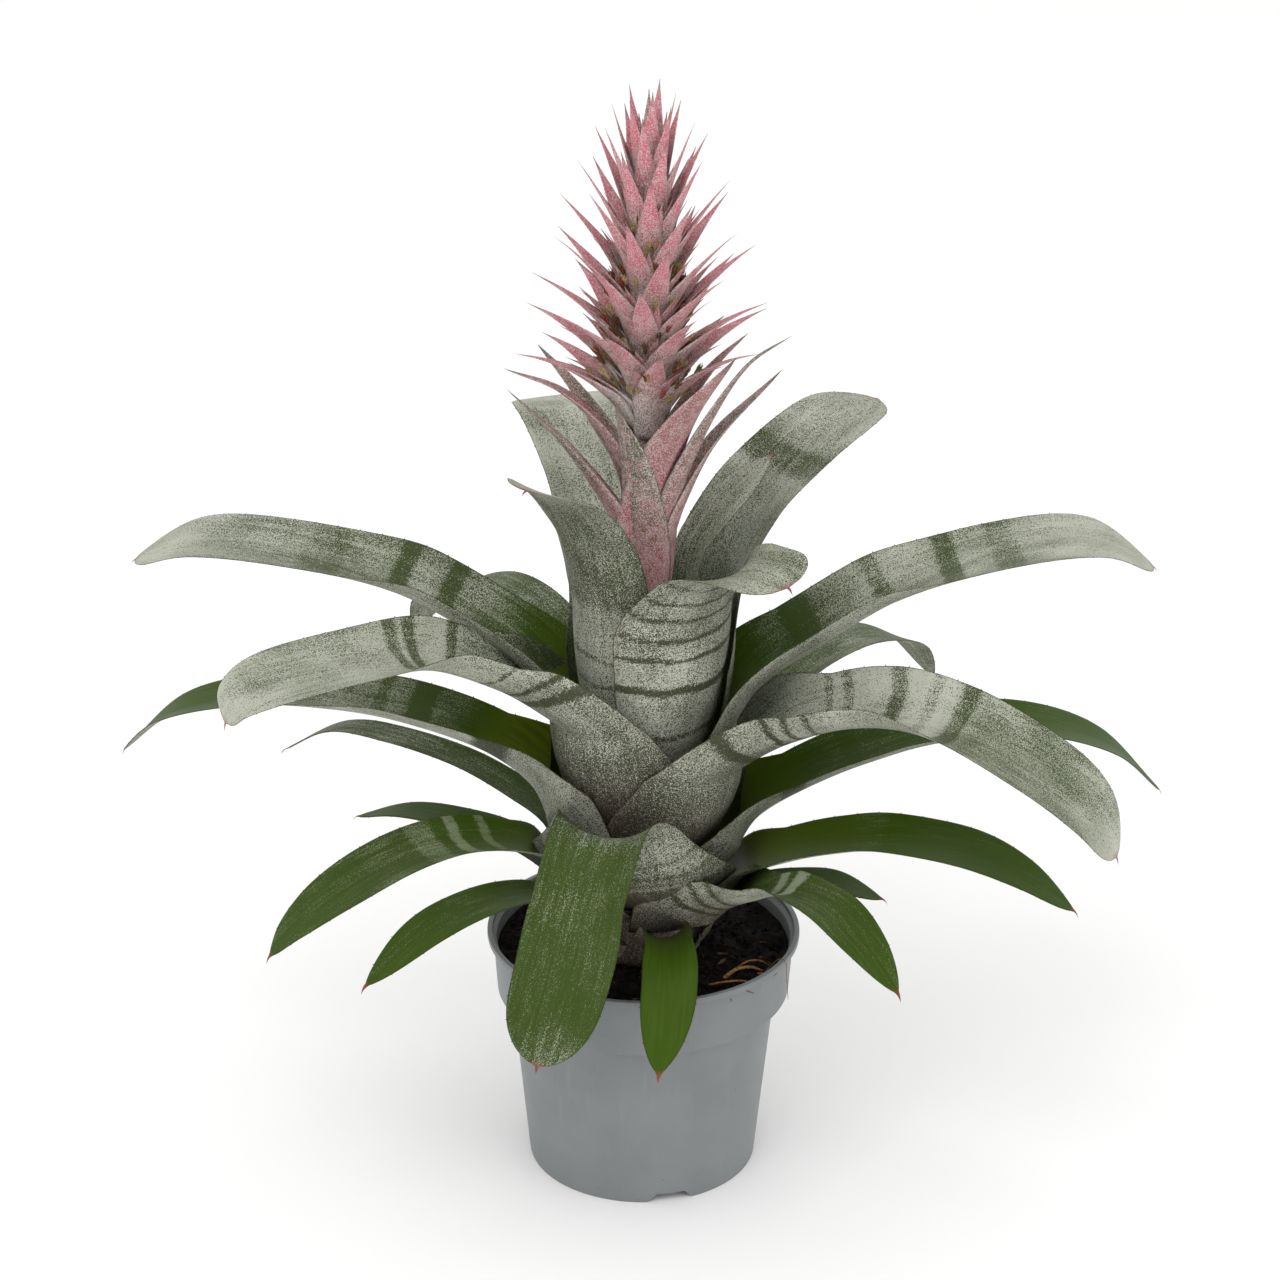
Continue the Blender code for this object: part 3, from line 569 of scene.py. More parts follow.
# Scales on each leaf. The distances run along the leaf from its rim, in millimetres.
# Upper side, then under side: (distance, cover of scales, freshness of the green). A freshness
# above 1 is a paler yellow green at the foot of the leaf, partly its own colour and partly
# painted light inside the urn, where shade falls.
# Then the bands of each side: (distance, half width, cover that the band takes away, how far
# the margins run ahead). A minus in the third column is a silver band.
PLAIN_UNDER = ((-60, 0.4, 0.1), (0, 0.58, 0.1), (80, 0.62, 0.2), (200, 0.6, 0.3))
SCALES = {
    "front_short": (((-20, -0.3, 1), (10, -0.3, 1), (70, -0.3, 1)), PLAIN_UNDER, (), ()),
    "right_short": (((-20, 0.04, 0.85), (80, 0.08, 0.85)), PLAIN_UNDER, (), ()),
    "back_left_short": (((-20, 0.05, 0.8), (80, 0.06, 0.85)), PLAIN_UNDER, (), ()),
    "front_left_short": (((-20, 0.04, 1), (80, 0.14, 0.8), (140, 0.1, 0.9)), PLAIN_UNDER, (), ()),
    "back_left_thin": (
        ((-20, 0.1, 0.8), (120, 0.36, 0.5)),
        ((-60, 0.5, 0.1), (200, 0.62, 0.3)),
        (),
        (),
    ),
    "front_right": (
        ((-20, 0.1, 0.8), (35, 0.24, 0.75), (60, 0.24, 0.75), (130, 0.14, 0.9)),
        ((-60, 0.5, 0.1), (0, 0.7, 0.2), (60, 0.55, 0.4)),
        ((42, 3, -0.35, 0), (51, 3, -0.45, 0)),
        ((6, 1, 0.35, 4), (12, 1, 0.35, 4), (20, 1.2, 0.3, 4)),
    ),
    "right_lower": (
        ((-20, 0.0, 1.8), (40, 0.04, 1.15), (100, 0.08, 0.9), (156, 0.04, 0.95)),
        ((-60, 0.2, 0.0), (0, 0.36, 0.1), (24, 0.56, 0.1), (200, 0.6, 0.3)),
        ((63, 8, -0.16, 0),),
        (),
    ),
    "left_lower": (
        ((-20, 0.02, 1.8), (25, 0.1, 1.1), (75, 0.24, 0.75), (148, 0.16, 0.85)),
        ((-60, 0.5, 0.1), (0, 0.74, 0.1), (150, 0.7, 0.2)),
        ((40.6, 2.6, -0.4, 0), (54.6, 2.8, -0.42, 0), (68, 6, -0.22, 0)),
        (),
    ),
    "front_hanging": (
        ((-20, 0.3, 0.3), (0, 0.6, 0.3), (15, 0.5, 0.4), (28, 0.2, 0.7), (95, 0.2, 0.75),
         (112, 0.32, 0.65)),
        ((-60, 0.05, 0.1), (-20, 0.2, 0.1), (8, 0.5, 0.2), (60, 0.6, 0.3)),
        ((4, 1.6, 0.35, 3), (7, 1.2, -0.3, 3), (10, 1.4, 0.3, 3), (13, 1.2, -0.3, 3),
         (16, 1.8, 0.35, 3)),
        ((-2, 1, 0.12, 8), (-8, 1, 0.12, 8), (-14, 1, -0.15, 8)),
    ),
    "right_rear": (
        ((-20, 0.02, 1.8), (28, 0.06, 1.2), (50, 0.2, 0.85), (90, 0.26, 0.8), (130, 0.1, 0.9),
         (205, 0.1, 0.9)),
        PLAIN_UNDER,
        ((60, 4, 0.15, 0),),
        ((30, 6, 0.3, 0),),
    ),
    "left_rear": (
        ((-20, 0.02, 1.9), (34, 0.05, 1.8), (48, 0.1, 1.1), (58, 0.32, 0.7), (100, 0.5, 0.5),
         (140, 0.45, 0.5), (168, 0.1, 0.9), (212, 0.08, 0.9)),
        ((-60, 0.5, 0.1), (10, 0.62, 0.1), (60, 0.75, 0.1), (200, 0.6, 0.3)),
        ((73, 5, 0.35, 0), (90, 3, 0.15, 0)),
        ((36, 8, 0.5, 0),),
    ),
    "back_right_thin": (
        ((-20, 0.1, 0.8), (100, 0.4, 0.5), (170, 0.1, 0.9)),
        ((-60, 0.5, 0.1), (90, 0.62, 0.3), (170, 0.5, 0.5)),
        (),
        (),
    ),
    "back_left": (((-20, 0.05, 1), (60, 0.3, 0.5), (200, 0.3, 0.5)), PLAIN_UNDER, (), ()),
    "right_middle": (
        ((-20, 0.2, 0.8), (35, 0.76, 0.3), (90, 0.86, 0.3), (108, 0.52, 0.5), (150, 0.5, 0.5),
         (170, 0.72, 0.4), (181, 0.92, 0.3)),
        # Under side: the thin cover on the sheath below the rim is partly painted shade.
        ((-70, 0.24, 0.0), (-20, 0.3, 0.05), (14, 0.48, 0.1), (60, 0.64, 0.1), (180, 0.66, 0.2)),
        ((44, 2, 0.18, 0), (52, 2.4, 0.2, 0), (72, 3.4, 0.3, 0), (86, 2.6, 0.18, 0),
         (99, 3.6, 0.24, 0)),
        ((16, 2.0, 0.7, 3), (31, 1.2, 0.5, 3), (38, 1.1, 0.4, 3), (46.5, 1.0, 0.3, 3)),
    ),
    "left_middle": (
        ((-20, 0.2, 0.8), (30, 0.5, 0.5), (60, 0.72, 0.3), (100, 0.66, 0.4), (140, 0.7, 0.35),
         (161, 0.9, 0.3)),
        # Under side: the thin cover on the sheath below the rim is partly painted shade.
        ((-70, 0.22, 0.0), (-20, 0.28, 0.05), (14, 0.48, 0.1), (60, 0.7, 0.1), (160, 0.7, 0.2)),
        ((54, 2.6, 0.3, 0), (71, 2.4, 0.3, 0), (78, 2.6, 0.26, 0)),
        ((24, 2.2, 0.7, -5), (33.6, 1.3, 0.5, -7), (47, 1, 0.3, -4)),
    ),
    "right_upper": (
        ((-30, 0.02, 1.9), (12, 0.08, 1.3), (26, 0.3, 0.8), (52, 0.42, 0.5), (70, 0.6, 0.4),
         (125, 0.6, 0.4), (150, 0.7, 0.35), (185, 0.85, 0.3)),
        PLAIN_UNDER,
        ((42.6, 7, 0.2, 0), (78, 4, 0.18, 0), (107, 4.5, 0.24, 0), (130, 6, 0.12, 0)),
        (),
    ),
    "left_upper": (
        ((-30, 0.02, 1.9), (14, 0.1, 1.3), (32, 0.3, 0.8), (55, 0.5, 0.45), (110, 0.5, 0.4),
         (150, 0.55, 0.35), (170, 0.75, 0.3), (190, 0.85, 0.3)),
        PLAIN_UNDER,
        ((64, 4, 0.22, 0), (84, 4, 0.26, 0), (116, 9, 0.1, 0)),
        (),
    ),
    "back_right_tall": (
        ((-20, 0.2, 0.8), (20, 0.55, 0.3), (60, 0.62, 0.3), (75, 0.48, 0.4), (90, 0.68, 0.3)),
        PLAIN_UNDER,
        ((70, 7, 0.14, 0),),
        (),
    ),
    "back_left_tall": (
        ((-20, 0.3, 0.6), (20, 0.62, 0.3), (60, 0.66, 0.3), (90, 0.8, 0.2)),
        PLAIN_UNDER,
        ((86, 8, 0.12, 0),),
        (),
    ),
    "front_urn": (
        ((-20, 0.3, 0.7), (20, 0.5, 0.5), (54, 0.6, 0.4)),
        # Under side: the thick cover low on the sheath is partly real scales, partly painted light
        # against the shade there.
        ((-110, 0.74, 0.0), (-64, 0.72, 0.0), (-40, 0.6, 0.1), (20, 0.57, 0.1), (54, 0.66, 0.3)),
        (),
        ((19, 0.7, 0.2, 3), (11, 0.7, 0.28, 3), (3, 0.75, 0.32, 3), (-5, 0.75, 0.34, 3),
         (-14, 0.8, 0.36, 3), (-28, 1.6, 0.6, 3), (-50, 1.4, 0.22, 3)),
    ),
    "front_left_urn": (
        ((-20, 0.2, 0.8), (30, 0.5, 0.4), (80, 0.7, 0.4)),
        ((-90, 0.45, 0.0), (-20, 0.62, 0.1), (6, 0.62, 0.1), (12, 0.36, 0.2), (60, 0.4, 0.2),
         (80, 0.6, 0.2)),
        (),
        ((-14, 1, 0.2, 3), (-26, 1, 0.2, 3)),
    ),
    "right_inner": (
        ((-30, 0.3, 0.6), (40, 0.55, 0.4), (80, 0.66, 0.3)),
        ((-60, 0.5, 0.1), (80, 0.62, 0.3)),
        (),
        (),
    ),
}


def smooth_step(low, high, value):
    t = min(max((value - low) / (high - low), 0), 1)
    return t * t * (3 - 2 * t)


def along_table(table, value):
    """The other columns of a table, read at this value of its first."""
    if value <= table[0][0]:
        return table[0][1:]
    for before, after in zip(table, table[1:]):
        if value <= after[0]:
            share = (value - before[0]) / (after[0] - before[0])
            return [mix(a, b, share) for a, b in zip(before[1:], after[1:])]
    return table[-1][1:]


def stem_radius(height):
    """The stump's radius at this height."""
    return along_table([(z, r) for r, z in STEM_PROFILE], height)[0]


def length_of(line):
    return sum((after - before).length for before, after in zip(line, line[1:]))


def walk(line, fractions):
    """(point, tangent) at each fraction of the line's length."""
    lengths = [0]
    for before, after in zip(line, line[1:]):
        lengths.append(lengths[-1] + (after - before).length)
    ends = zip([line[0], *line], [*line[1:], line[-1]])
    tangents = [(after - before).normalized() for before, after in ends]
    found = []
    i = 0
    for fraction in fractions:
        along = fraction * lengths[-1]
        while i < len(line) - 2 and lengths[i + 1] < along:
            i += 1
        share = (along - lengths[i]) / (lengths[i + 1] - lengths[i])
        tangent = tangents[i].lerp(tangents[i + 1], share).normalized()
        found.append((line[i].lerp(line[i + 1], share), tangent))
    return found


def urn_wall(seat, rim, t):
    """The sheath's midline: it swells out from its seat and is upright at the rim."""
    swell = 1 - (1 - t) ** 2
    return Vector((mix(seat[0], rim[0], swell), mix(seat[1], rim[1], t)))


def blade_half_width(width, u):
    """The broad leaves end round, and the narrow ones run out into a long point."""
    pointed = smooth_step(ROUND_TIP_WIDTH, POINTED_TIP_WIDTH, width)
    starts = mix(TIP_STARTS, POINT_STARTS, pointed)
    tapered = width / 2 * (1 - BLADE_TAPER * u * u)
    if u <= starts:
        return tapered
    inside = (u - starts) / (1 - starts)
    left = 1 - inside ** mix(2.8, 2.2, pointed)
    return max(tapered * max(0, left) ** mix(0.55, 0.75, pointed), TIP_HALF_WIDTH)


def across(columns, half_width):
    """Places across the leaf from -1 to 1, with a narrow strip along each margin."""
    strip = min(MARGIN / half_width, 0.3)
    inner = [(1 - strip) * (2 * i / (columns - 2) - 1) for i in range(columns - 1)]
    return [-1.0, *inner, 1.0]


def section(middle, inward, azimuth, half_width, radius, places, slant=0):
    """Points across the leaf: an arc that bulges away from the inward side. A slant raises the
    half that is nearer the front."""
    front = -1 if math.cos(azimuth) > 0 else 1
    out = facing(azimuth)
    sideways = Vector((-out.y, out.x, 0))
    up = Vector((0, 0, 1))
    points = []
    for place in places:
        angle = half_width / radius * place
        lift = radius * (1 - math.cos(angle))
        spot = out * (middle.x + inward.x * lift) + up * (middle.y + inward.y * lift)
        raised = up * (slant * half_width * max(0, place * front))
        points.append((spot + raised + sideways * radius * math.sin(angle)) * MM)
    return points


def narrowed(start, end, distance):
    """Mostly straight from 0 at the start to 1 at the end, with soft ends."""
    t = min(max((distance - start) / (end - start), 0), 1)
    return mix(t, smooth_step(0, 1, t), 0.4) ** 0.8


def leaf_net(order, leaf):
    """Rows over the leaf: (points, places, distance from the rim, half width)."""
    _, azimuth, sway, width, wrap, opens, closes, channel, tilt, slant, rim, blade = leaf
    seat_height = FIRST_SEAT + SEAT_STEP * order
    seat = (stem_radius(seat_height) + SEAT_GAP, seat_height)
    turn = math.radians(azimuth)
    sheath_half_width = math.radians(wrap) * rim[0]
    net = []
    # The sheath, from its seat on the stem to just under the rim.
    sheath_steps = round((rim[1] - seat_height) / ROW_STEP)
    for step in range(sheath_steps):
        t = 0.99 * step / sheath_steps
        middle = urn_wall(seat, rim, t)
        narrowing = narrowed(-opens, closes, middle.y - rim[1])
        half_width = mix(math.radians(wrap) * middle.x, width / 2, narrowing)
        places = across(LEAF_COLUMNS, half_width)
        fading = smooth_step(0, LIFT_ENDS, t)
        lifted = math.radians(tilt) * fading
        inward = Vector((-math.cos(lifted), math.sin(lifted)))
        points = section(middle, inward, turn, half_width, middle.x, places, slant * fading)
        net.append((points, places, middle.y - rim[1], half_width))
    # The blade, which leaves the rim in line with the sheath's top, folds into its own channel
    # and flattens towards the tip.
    blade_points = [Vector(point) for point in (rim, *blade)]
    blade_line = curve_through([urn_wall(seat, rim, 0.92), *blade_points])[CURVE_PIECES:]
    blade_length = length_of(blade_line)
    steps = round(blade_length / ROW_STEP)
    shares = [step / steps for step in range(steps + 1)]
    start = Vector((-math.cos(math.radians(tilt)), math.sin(math.radians(tilt))))
    for u, (middle, tangent) in zip(shares, walk(blade_line, shares)):
        inward = start.lerp(Vector((-tangent.y, tangent.x)), smooth_step(0, 0.12, u)).normalized()
        narrowing = narrowed(-opens, closes, u * blade_length)
        half_width = mix(sheath_half_width, blade_half_width(width, u), narrowing)
        folded = mix(rim[0], channel, smooth_step(0, 0.2, u))
        radius = mix(folded, RADIUS_AT_TIP, smooth_step(0.38, 0.85, u))
        swung = turn + math.radians(sway) * u
        places = across(LEAF_COLUMNS, half_width)
        fading = mix(1, 0.3, smooth_step(0, 0.35, u))
        points = section(middle, inward, swung, half_width, radius, places, slant * fading)
        net.append((points, places, u * blade_length, half_width))
    return net


def add_spine(net):
    """Carries the net on into the short hooked spine at the leaf's end."""
    points, places, distance, half_width = net[-1]
    middle = (points[0] + points[-1]) / 2
    before = (net[-4][0][0] + net[-4][0][-1]) / 2
    heading = (middle - before).normalized()
    for step in range(1, SPINE_STEPS + 1):
        t = step / SPINE_STEPS
        heading = (heading + Vector((0, 0, -SPINE_DROOP / SPINE_STEPS))).normalized()
        middle = middle + heading * (SPINE_LENGTH / SPINE_STEPS * MM)
        narrow = max(1 - t, 0.06)
        spots = [middle + (point - (points[0] + points[-1]) / 2) * narrow for point in points]
        net.append((spots, places, distance + SPINE_LENGTH * t, half_width * narrow))


def skin(net, thickness):
    """A closed sheet over the net: (vertices, faces, (row, column, side) of each vertex)."""
    grid = [row[0] for row in net]
    last_row, last = len(grid) - 1, len(grid[0]) - 1
    spots, faces, keys, index = [], [], [], {}
    for i, row in enumerate(grid):
        ahead, behind = grid[min(i + 1, last_row)], grid[max(i - 1, 0)]
        for j, spot in enumerate(row):
            sideways = row[min(j + 1, last)] - row[max(j - 1, 0)]
            normal = sideways.cross(ahead[j] - behind[j]).normalized()
            if j in (0, last):
                index[i, j, 1] = index[i, j, -1] = len(spots)
                spots.append(spot)
                keys.append((i, j, 0))
                continue
            body = min(1, 0.35 + 0.65 * math.sqrt(max(0, 1 - net[i][1][j] ** 4)))
            thin = min(1, net[i][3] / 2)
            for side in (1, -1):
                index[i, j, side] = len(spots)
                spots.append(spot + normal * (side * thickness / 2 * MM * body * thin))
                keys.append((i, j, side))
    for i in range(last_row):
        for j in range(last):
            corners = [(i, j), (i, j + 1), (i + 1, j + 1), (i + 1, j)]
            faces.append([index[a, b, 1] for a, b in corners])
            faces.append([index[a, b, -1] for a, b in reversed(corners)])
    for i, turn in ((0, 1), (last_row, -1)):
        for j in range(last):
            ring = [index[i, j, 1], index[i, j, -1], index[i, j + 1, -1], index[i, j + 1, 1]]
            faces.append(list(dict.fromkeys(ring[::turn])))
    return spots, faces, keys


def add_teeth(spots, faces, keys, net, spacing):
    """Little hooked teeth along both margins, each a closed spike on a four-cornered foot."""
    gone = 0.0
    first_row = next(i for i, row in enumerate(net) if row[2] > TEETH_START)
    for i in range(first_row, len(net) - ROWS_PAST_TEETH):
        gone += (net[i][0][0] - net[i - 1][0][0]).length / MM
        if gone < spacing:
            continue
        gone = 0.0
        for j, beside in ((0, 1), (-1, -2)):
            base = net[i][0][j]
            out = (base - net[i][0][beside]).normalized()
            ahead = (net[i + 1][0][j] - net[i - 1][0][j]).normalized()
            normal = out.cross(ahead).normalized()
            root = base - out * TOOTH_SIZE * 0.4 * MM
            long, high = ahead * TOOTH_SIZE * 0.45 * MM, normal * TOOTH_SIZE * 0.3 * MM
            start = len(spots)
            spots.extend([root - long, root + long, root + high, root - high])
            spots.append(base + (out + ahead * 0.5) * TOOTH_SIZE * MM)
            keys.extend([(i, 0, 2)] * 5)
            for a, b in ((0, 2), (2, 1), (1, 3), (3, 0)):
                faces.append([start + a, start + b, start + 4])
            faces.append([start, start + 3, start + 1, start + 2])


def leaf_look(leaf, net, key, seed):
    """Cover of scales, freshness and painted light, brown and painted shade, and horn at a vertex.
    """
    upper, under, upper_bands, under_bands = SCALES[leaf[0]]
    i, j, side = key
    _, places, distance, half_width = net[i]
    place = 0 if side == 2 else places[j]
    tip = net[-1 - SPINE_STEPS][2]
    cover, freshness_and_light = along_table(upper if side < 1 else under, distance)
    for middle, half, depth, run in upper_bands if side < 1 else under_bands:
        wobble = noise.noise(Vector((place * 2.5, middle, seed))) * 1.2
        off = abs(distance - middle - run * place * place + wobble) / half
        dark = 1 - smooth_step(0.6, 1.2, off)
        cover -= depth * BAND_STRENGTH * dark
    cover += noise.noise(Vector((distance / 16, place * 1.6, seed))) * 0.16
    cover += noise.noise(Vector((distance / 70, place * 6, seed + 3))) * 0.12
    # The lowest sheaths are rubbed bare, and all the lower ones turn brown, most at the margins.
    # On the sheaths this darkening is partly real age and partly painted shade.
    height = net[i][0][j].z / MM if side < 2 else 0
    low = smooth_step(160, 112, height) * smooth_step(40, 10, distance)
    cover -= BARE_AND_SHADE_LOW_DOWN * low
    low = max(low, smooth_step(0, -40, distance) * smooth_step(210, 180, height))
    edge = smooth_step(4, 0, (1 - abs(place)) * half_width)
    near_sheath = smooth_step(30, -10, distance)
    brown_and_shade = max(low * SHEATH_BROWN_AND_SHADE, low * edge, edge * MARGIN_BLUSH * near_sheath)
    horn = smooth_step(-2.5, 1.5, distance - tip)
    if side == 2:
        horn, brown_and_shade, cover = 1, 1, 0
    if side == 0:
        cover, freshness_and_light = cover * 0.6, 0.8
    return min(max(cover, 0), 1), freshness_and_light, brown_and_shade, horn


def set_values(mesh, name, values, kind="FLOAT"):
    """Keeps a number, or a vector, at each vertex, for the finish to read."""
    layer = mesh.attributes.new(name, kind, "POINT")
    if kind == "FLOAT":
        layer.data.foreach_set("value", values)
    else:
        layer.data.foreach_set("vector", [part for value in values for part in value])


def read_values(wire, *names):
    """A wire for each of the numbers kept at the vertices."""
    return [wire.node("Attribute", {"attribute_name": name}, output="Fac") for name in names]


silver_leaf, wire, shader = new_finish("scaly_leaf", Specular_IOR_Level=0.06)
cover, freshness_and_light, brown_and_shade, horn = read_values(wire, "cover", "freshness_and_light", "brown_and_shade", "horn")
lie = wire.node("Attribute", {"attribute_name": "lie"}, output="Vector")
scale = wire.grain(0.00042, 1)
speck = wire.grain(0.0009, 2, seed=0.7)
streak = wire.grain(0.0014, 3, stretch=(1, 0.07, 1), where=lie)
cloud = wire.grain(0.02, 2)
flesh = freshness_and_light.between((0.058, 0.058, 0.038), (0.036, 0.073, 0.004))
# Above freshness 1 the flesh turns a paler yellow green: partly the leaf's own foot, partly painted
# light inside the urn.
flesh = (freshness_and_light - 1).between(flesh, (0.14, 0.18, 0.008))
flesh = (streak.step(0.35, 0.7) * freshness_and_light * 0.4).between(flesh, (0.06, 0.092, 0.012))
spread = (scale - 0.5) * (6 - freshness_and_light * 2.4) + (speck - 0.5) * (1 - freshness_and_light) * 1.6
spread = spread + (streak - 0.5) * (0.8 + freshness_and_light)
scaled = (spread + (cover - 0.5) * 2.4 + 0.42).step(0, 1)
silver = cloud.step(0.3, 0.7).between((0.42, 0.435, 0.355), (0.54, 0.555, 0.47))
silver = (freshness_and_light.step(0.45, 1) * 0.7).between(silver, (0.18, 0.24, 0.08))
leaf_colour = (scaled * (0.95 - freshness_and_light * 0.35)).between(flesh, silver)
# The brown of old sheaths and margins; its pale end is darkened as painted shade on the lower
# sheaths.
brown = scaled.between((0.07, 0.04, 0.032), (0.26, 0.215, 0.18))
spine_colour = brown_and_shade.between((0.26, 0.055, 0.05), (0.06, 0.035, 0.025))
leaf_colour = horn.between((brown_and_shade * 0.8).between(leaf_colour, brown), spine_colour)
join(
    shader,
    Base_Color=leaf_colour,
    Roughness=0.45 + scaled * 0.3,
    Normal=wire.relief(scaled * 0.35 + streak * 0.65, 0.00022),
)

for order, leaf in enumerate(LEAVES):
    name = "leaf_" + leaf[0]
    net = leaf_net(order, leaf)
    add_spine(net)
    spots, faces, keys = skin(net, LEAF_THICKNESS)
    spacing = TOOTH_SPACING if leaf[3] > BROAD_LEAF else NARROW_LEAF_TOOTH_SPACING
    add_teeth(spots, faces, keys, net, spacing)
    mesh = bpy.data.meshes.new(name)
    mesh.from_pydata(spots, [], faces)
    mesh.shade_smooth()
    looks = [leaf_look(leaf, net, key, order * 5.3) for key in keys]
    for at, attribute in enumerate(("cover", "freshness_and_light", "brown_and_shade", "horn")):
        set_values(mesh, attribute, [look[at] for look in looks])
    flow = []
    for i, j, side in keys:
        wide = 0 if side == 2 else net[i][1][j] * net[i][3]
        flow.append((wide * MM, net[i][2] * MM, order * 0.1 + side * 0.03))
    set_values(mesh, "lie", flow, "FLOAT_VECTOR")
    piece = add_piece("silver_" + name, mesh, silver_leaf)
    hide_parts(name)
    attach(piece, "root")


# Stalk bracts
# Narrow pointed leaves up the flower stalk, grey-green to pink under the same scales. They
# are folded along the middle and stand off the stalk.
BRACT_THICKNESS = 0.5
BRACT_WIDEST_AT = 0.28
BRACT_FOOT_SHARE = 0.62
BRACT_TIP_HALF_WIDTH = 0.12
BRACT_KEEL = 0.05
STALK_BRACT_ROWS = 44
STALK_BRACT_COLUMNS = 12
STALK_BRACT_DRAWN_OUT = 0.82
STALK_BRACT_FOOT_COVER = 0.42
FOOT_COVER = 0.7
TIP_COVER = 0.35

# name, azimuth, sway of the tip, width, radius of the fold, pink at the foot and at the tip,
# (radius, height) from the seat out to the tip
STALK_BRACTS = (
    ("front", -86, -32, 26, 11, (0.8, 0.0),
     ((5.6, 250), (8, 268), (11, 290), (15, 315), (26, 344))),
    ("front_right", -62, 12, 34, 18, (0.88, 0.5),
     ((5.6, 254), (7.5, 284), (12, 312), (26, 338), (52, 370))),
    ("right_outer", -16, 0, 21, 8, (0.5, 0.1),
     ((5.6, 269), (9, 285), (14, 302), (25, 330), (40, 356), (58, 371))),
    ("right", 10, 0, 21, 8, (0.6, 0.1),
     ((5.6, 260), (10, 277), (16, 296), (29, 321), (54, 348))),
    ("left", 192, 0, 21, 8, (0.8, 0.1),
     ((5.6, 266), (11, 283), (20, 301), (36, 325), (56, 347))),
    ("left_upper", 186, 0, 16, 7, (0.5, 0.4),
     ((5.6, 300), (12, 315), (22, 331), (36, 344), (56, 353))),
    ("back_left", 138, 0, 16, 8, (0.4, 0.1),
     ((5.6, 283), (13, 306), (25, 320), (41, 335), (59, 347))),
    ("back_right", 20, 0, 15, 7, (0.4, 0.3),
     ((5.6, 304), (12, 323), (20, 338), (30, 351), (42, 361))),
)


def bract_half_width(width, u, drawn_out):
    """Widest low down, then drawn out to a sharp point."""
    if u < BRACT_WIDEST_AT:
        rising = math.sin(u / BRACT_WIDEST_AT * math.pi / 2)
        return width / 2 * mix(BRACT_FOOT_SHARE, 1, rising)
    left = (1 - u) / (1 - BRACT_WIDEST_AT)
    return max(width / 2 * left**drawn_out, BRACT_TIP_HALF_WIDTH)


def bract_net(azimuth, sway, width, path, fold, rows, columns, drawn_out=1.15):
    """Rows over the bract, raised in a keel along its middle, as leaf_net gives them."""
    turn = math.radians(azimuth)
    line = curve_through([Vector(point) for point in path])
    shares = [row / rows for row in range(rows + 1)]
    net = []
    for u, (middle, tangent) in zip(shares, walk(line, shares)):
        inward = Vector((-tangent.y, tangent.x))
        half_width = bract_half_width(width, u, drawn_out)
        places = [2 * column / columns - 1 for column in range(columns + 1)]
        points = section(middle, inward, turn + math.radians(sway) * u, half_width, fold, places)
        keel = Vector((math.cos(turn) * -inward.x, math.sin(turn) * -inward.x, -inward.y))
        for j, place in enumerate(places):
            points[j] += keel * math.exp(-((place / 0.22) ** 2)) * BRACT_KEEL * half_width * MM
        net.append((points, places, u, half_width))
    return net


def bract_mesh(name, net, pink_ends, seed, foot_cover=FOOT_COVER, thickness=BRACT_THICKNESS):
    """A bract's mesh, with its pink and its cover of scales worked out for each vertex."""
    spots, faces, keys = skin(net, thickness)
    mesh = bpy.data.meshes.new(name)
    mesh.from_pydata(spots, [], faces)
    mesh.shade_smooth()
    tones, covers, tips = [], [], []
    for i, j, side in keys:
        u, place = net[i][2], net[i][1][j]
        patch = noise.noise(Vector((u * 4, place * 1.5, seed)))
        tone = mix(*pink_ends, smooth_step(0.12, 0.65, u)) * (1 - 0.3 * smooth_step(0.85, 1, u))
        tones.append(tone + patch * 0.25)
        pale_margin = 0.35 * smooth_step(0.72, 1, abs(place))
        plain = mix(foot_cover, TIP_COVER, smooth_step(0.15, 0.75, u))
        covers.append(plain + patch * 0.15 + pale_margin)
        tips.append(smooth_step(0.86, 1, u) if side else smooth_step(0.8, 1, u))
    set_values(mesh, "pink", tones)
    set_values(mesh, "cover", covers)
    set_values(mesh, "horn", tips)
    return mesh


pink_bract, wire, shader = new_finish("pink_bract", Specular_IOR_Level=0.2)
cover, pink, horn = read_values(wire, "cover", "pink", "horn")
scale = wire.grain(0.0005, 1)
blotch = wire.grain(0.004, 2)
flesh = pink.between((0.13, 0.115, 0.07), (0.6, 0.12, 0.18))
flesh = (blotch.step(0.4, 0.65) * 0.35).between(flesh, (0.64, 0.27, 0.32))
scaled = ((scale - 0.5) * 6.5 + (cover - 0.5) * 1.7 + (blotch - 0.5) * 0.8 + 0.5).step(0, 1)
bract_colour = (scaled * 0.84).between(flesh, (0.61, 0.57, 0.53))
bract_colour = (horn * 0.75).between(bract_colour, (0.14, 0.11, 0.09))
join(
    shader,
    Base_Color=bract_colour,
    Roughness=0.55 + scaled * 0.3,
    Normal=wire.relief(scaled, 0.00015),
)

for at, (label, azimuth, sway, width, fold, pink_ends, path) in enumerate(STALK_BRACTS):
    shape = (azimuth, sway, width, path, fold)
    net = bract_net(*shape, STALK_BRACT_ROWS, STALK_BRACT_COLUMNS, STALK_BRACT_DRAWN_OUT)
    mesh = bract_mesh("stalk_bract_" + label, net, pink_ends, at * 3.1, STALK_BRACT_FOOT_COVER)
    piece = add_piece("scaly_stalk_bract_" + label, mesh, pink_bract)
    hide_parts("stalk_bract_" + label)
    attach(piece, "root")


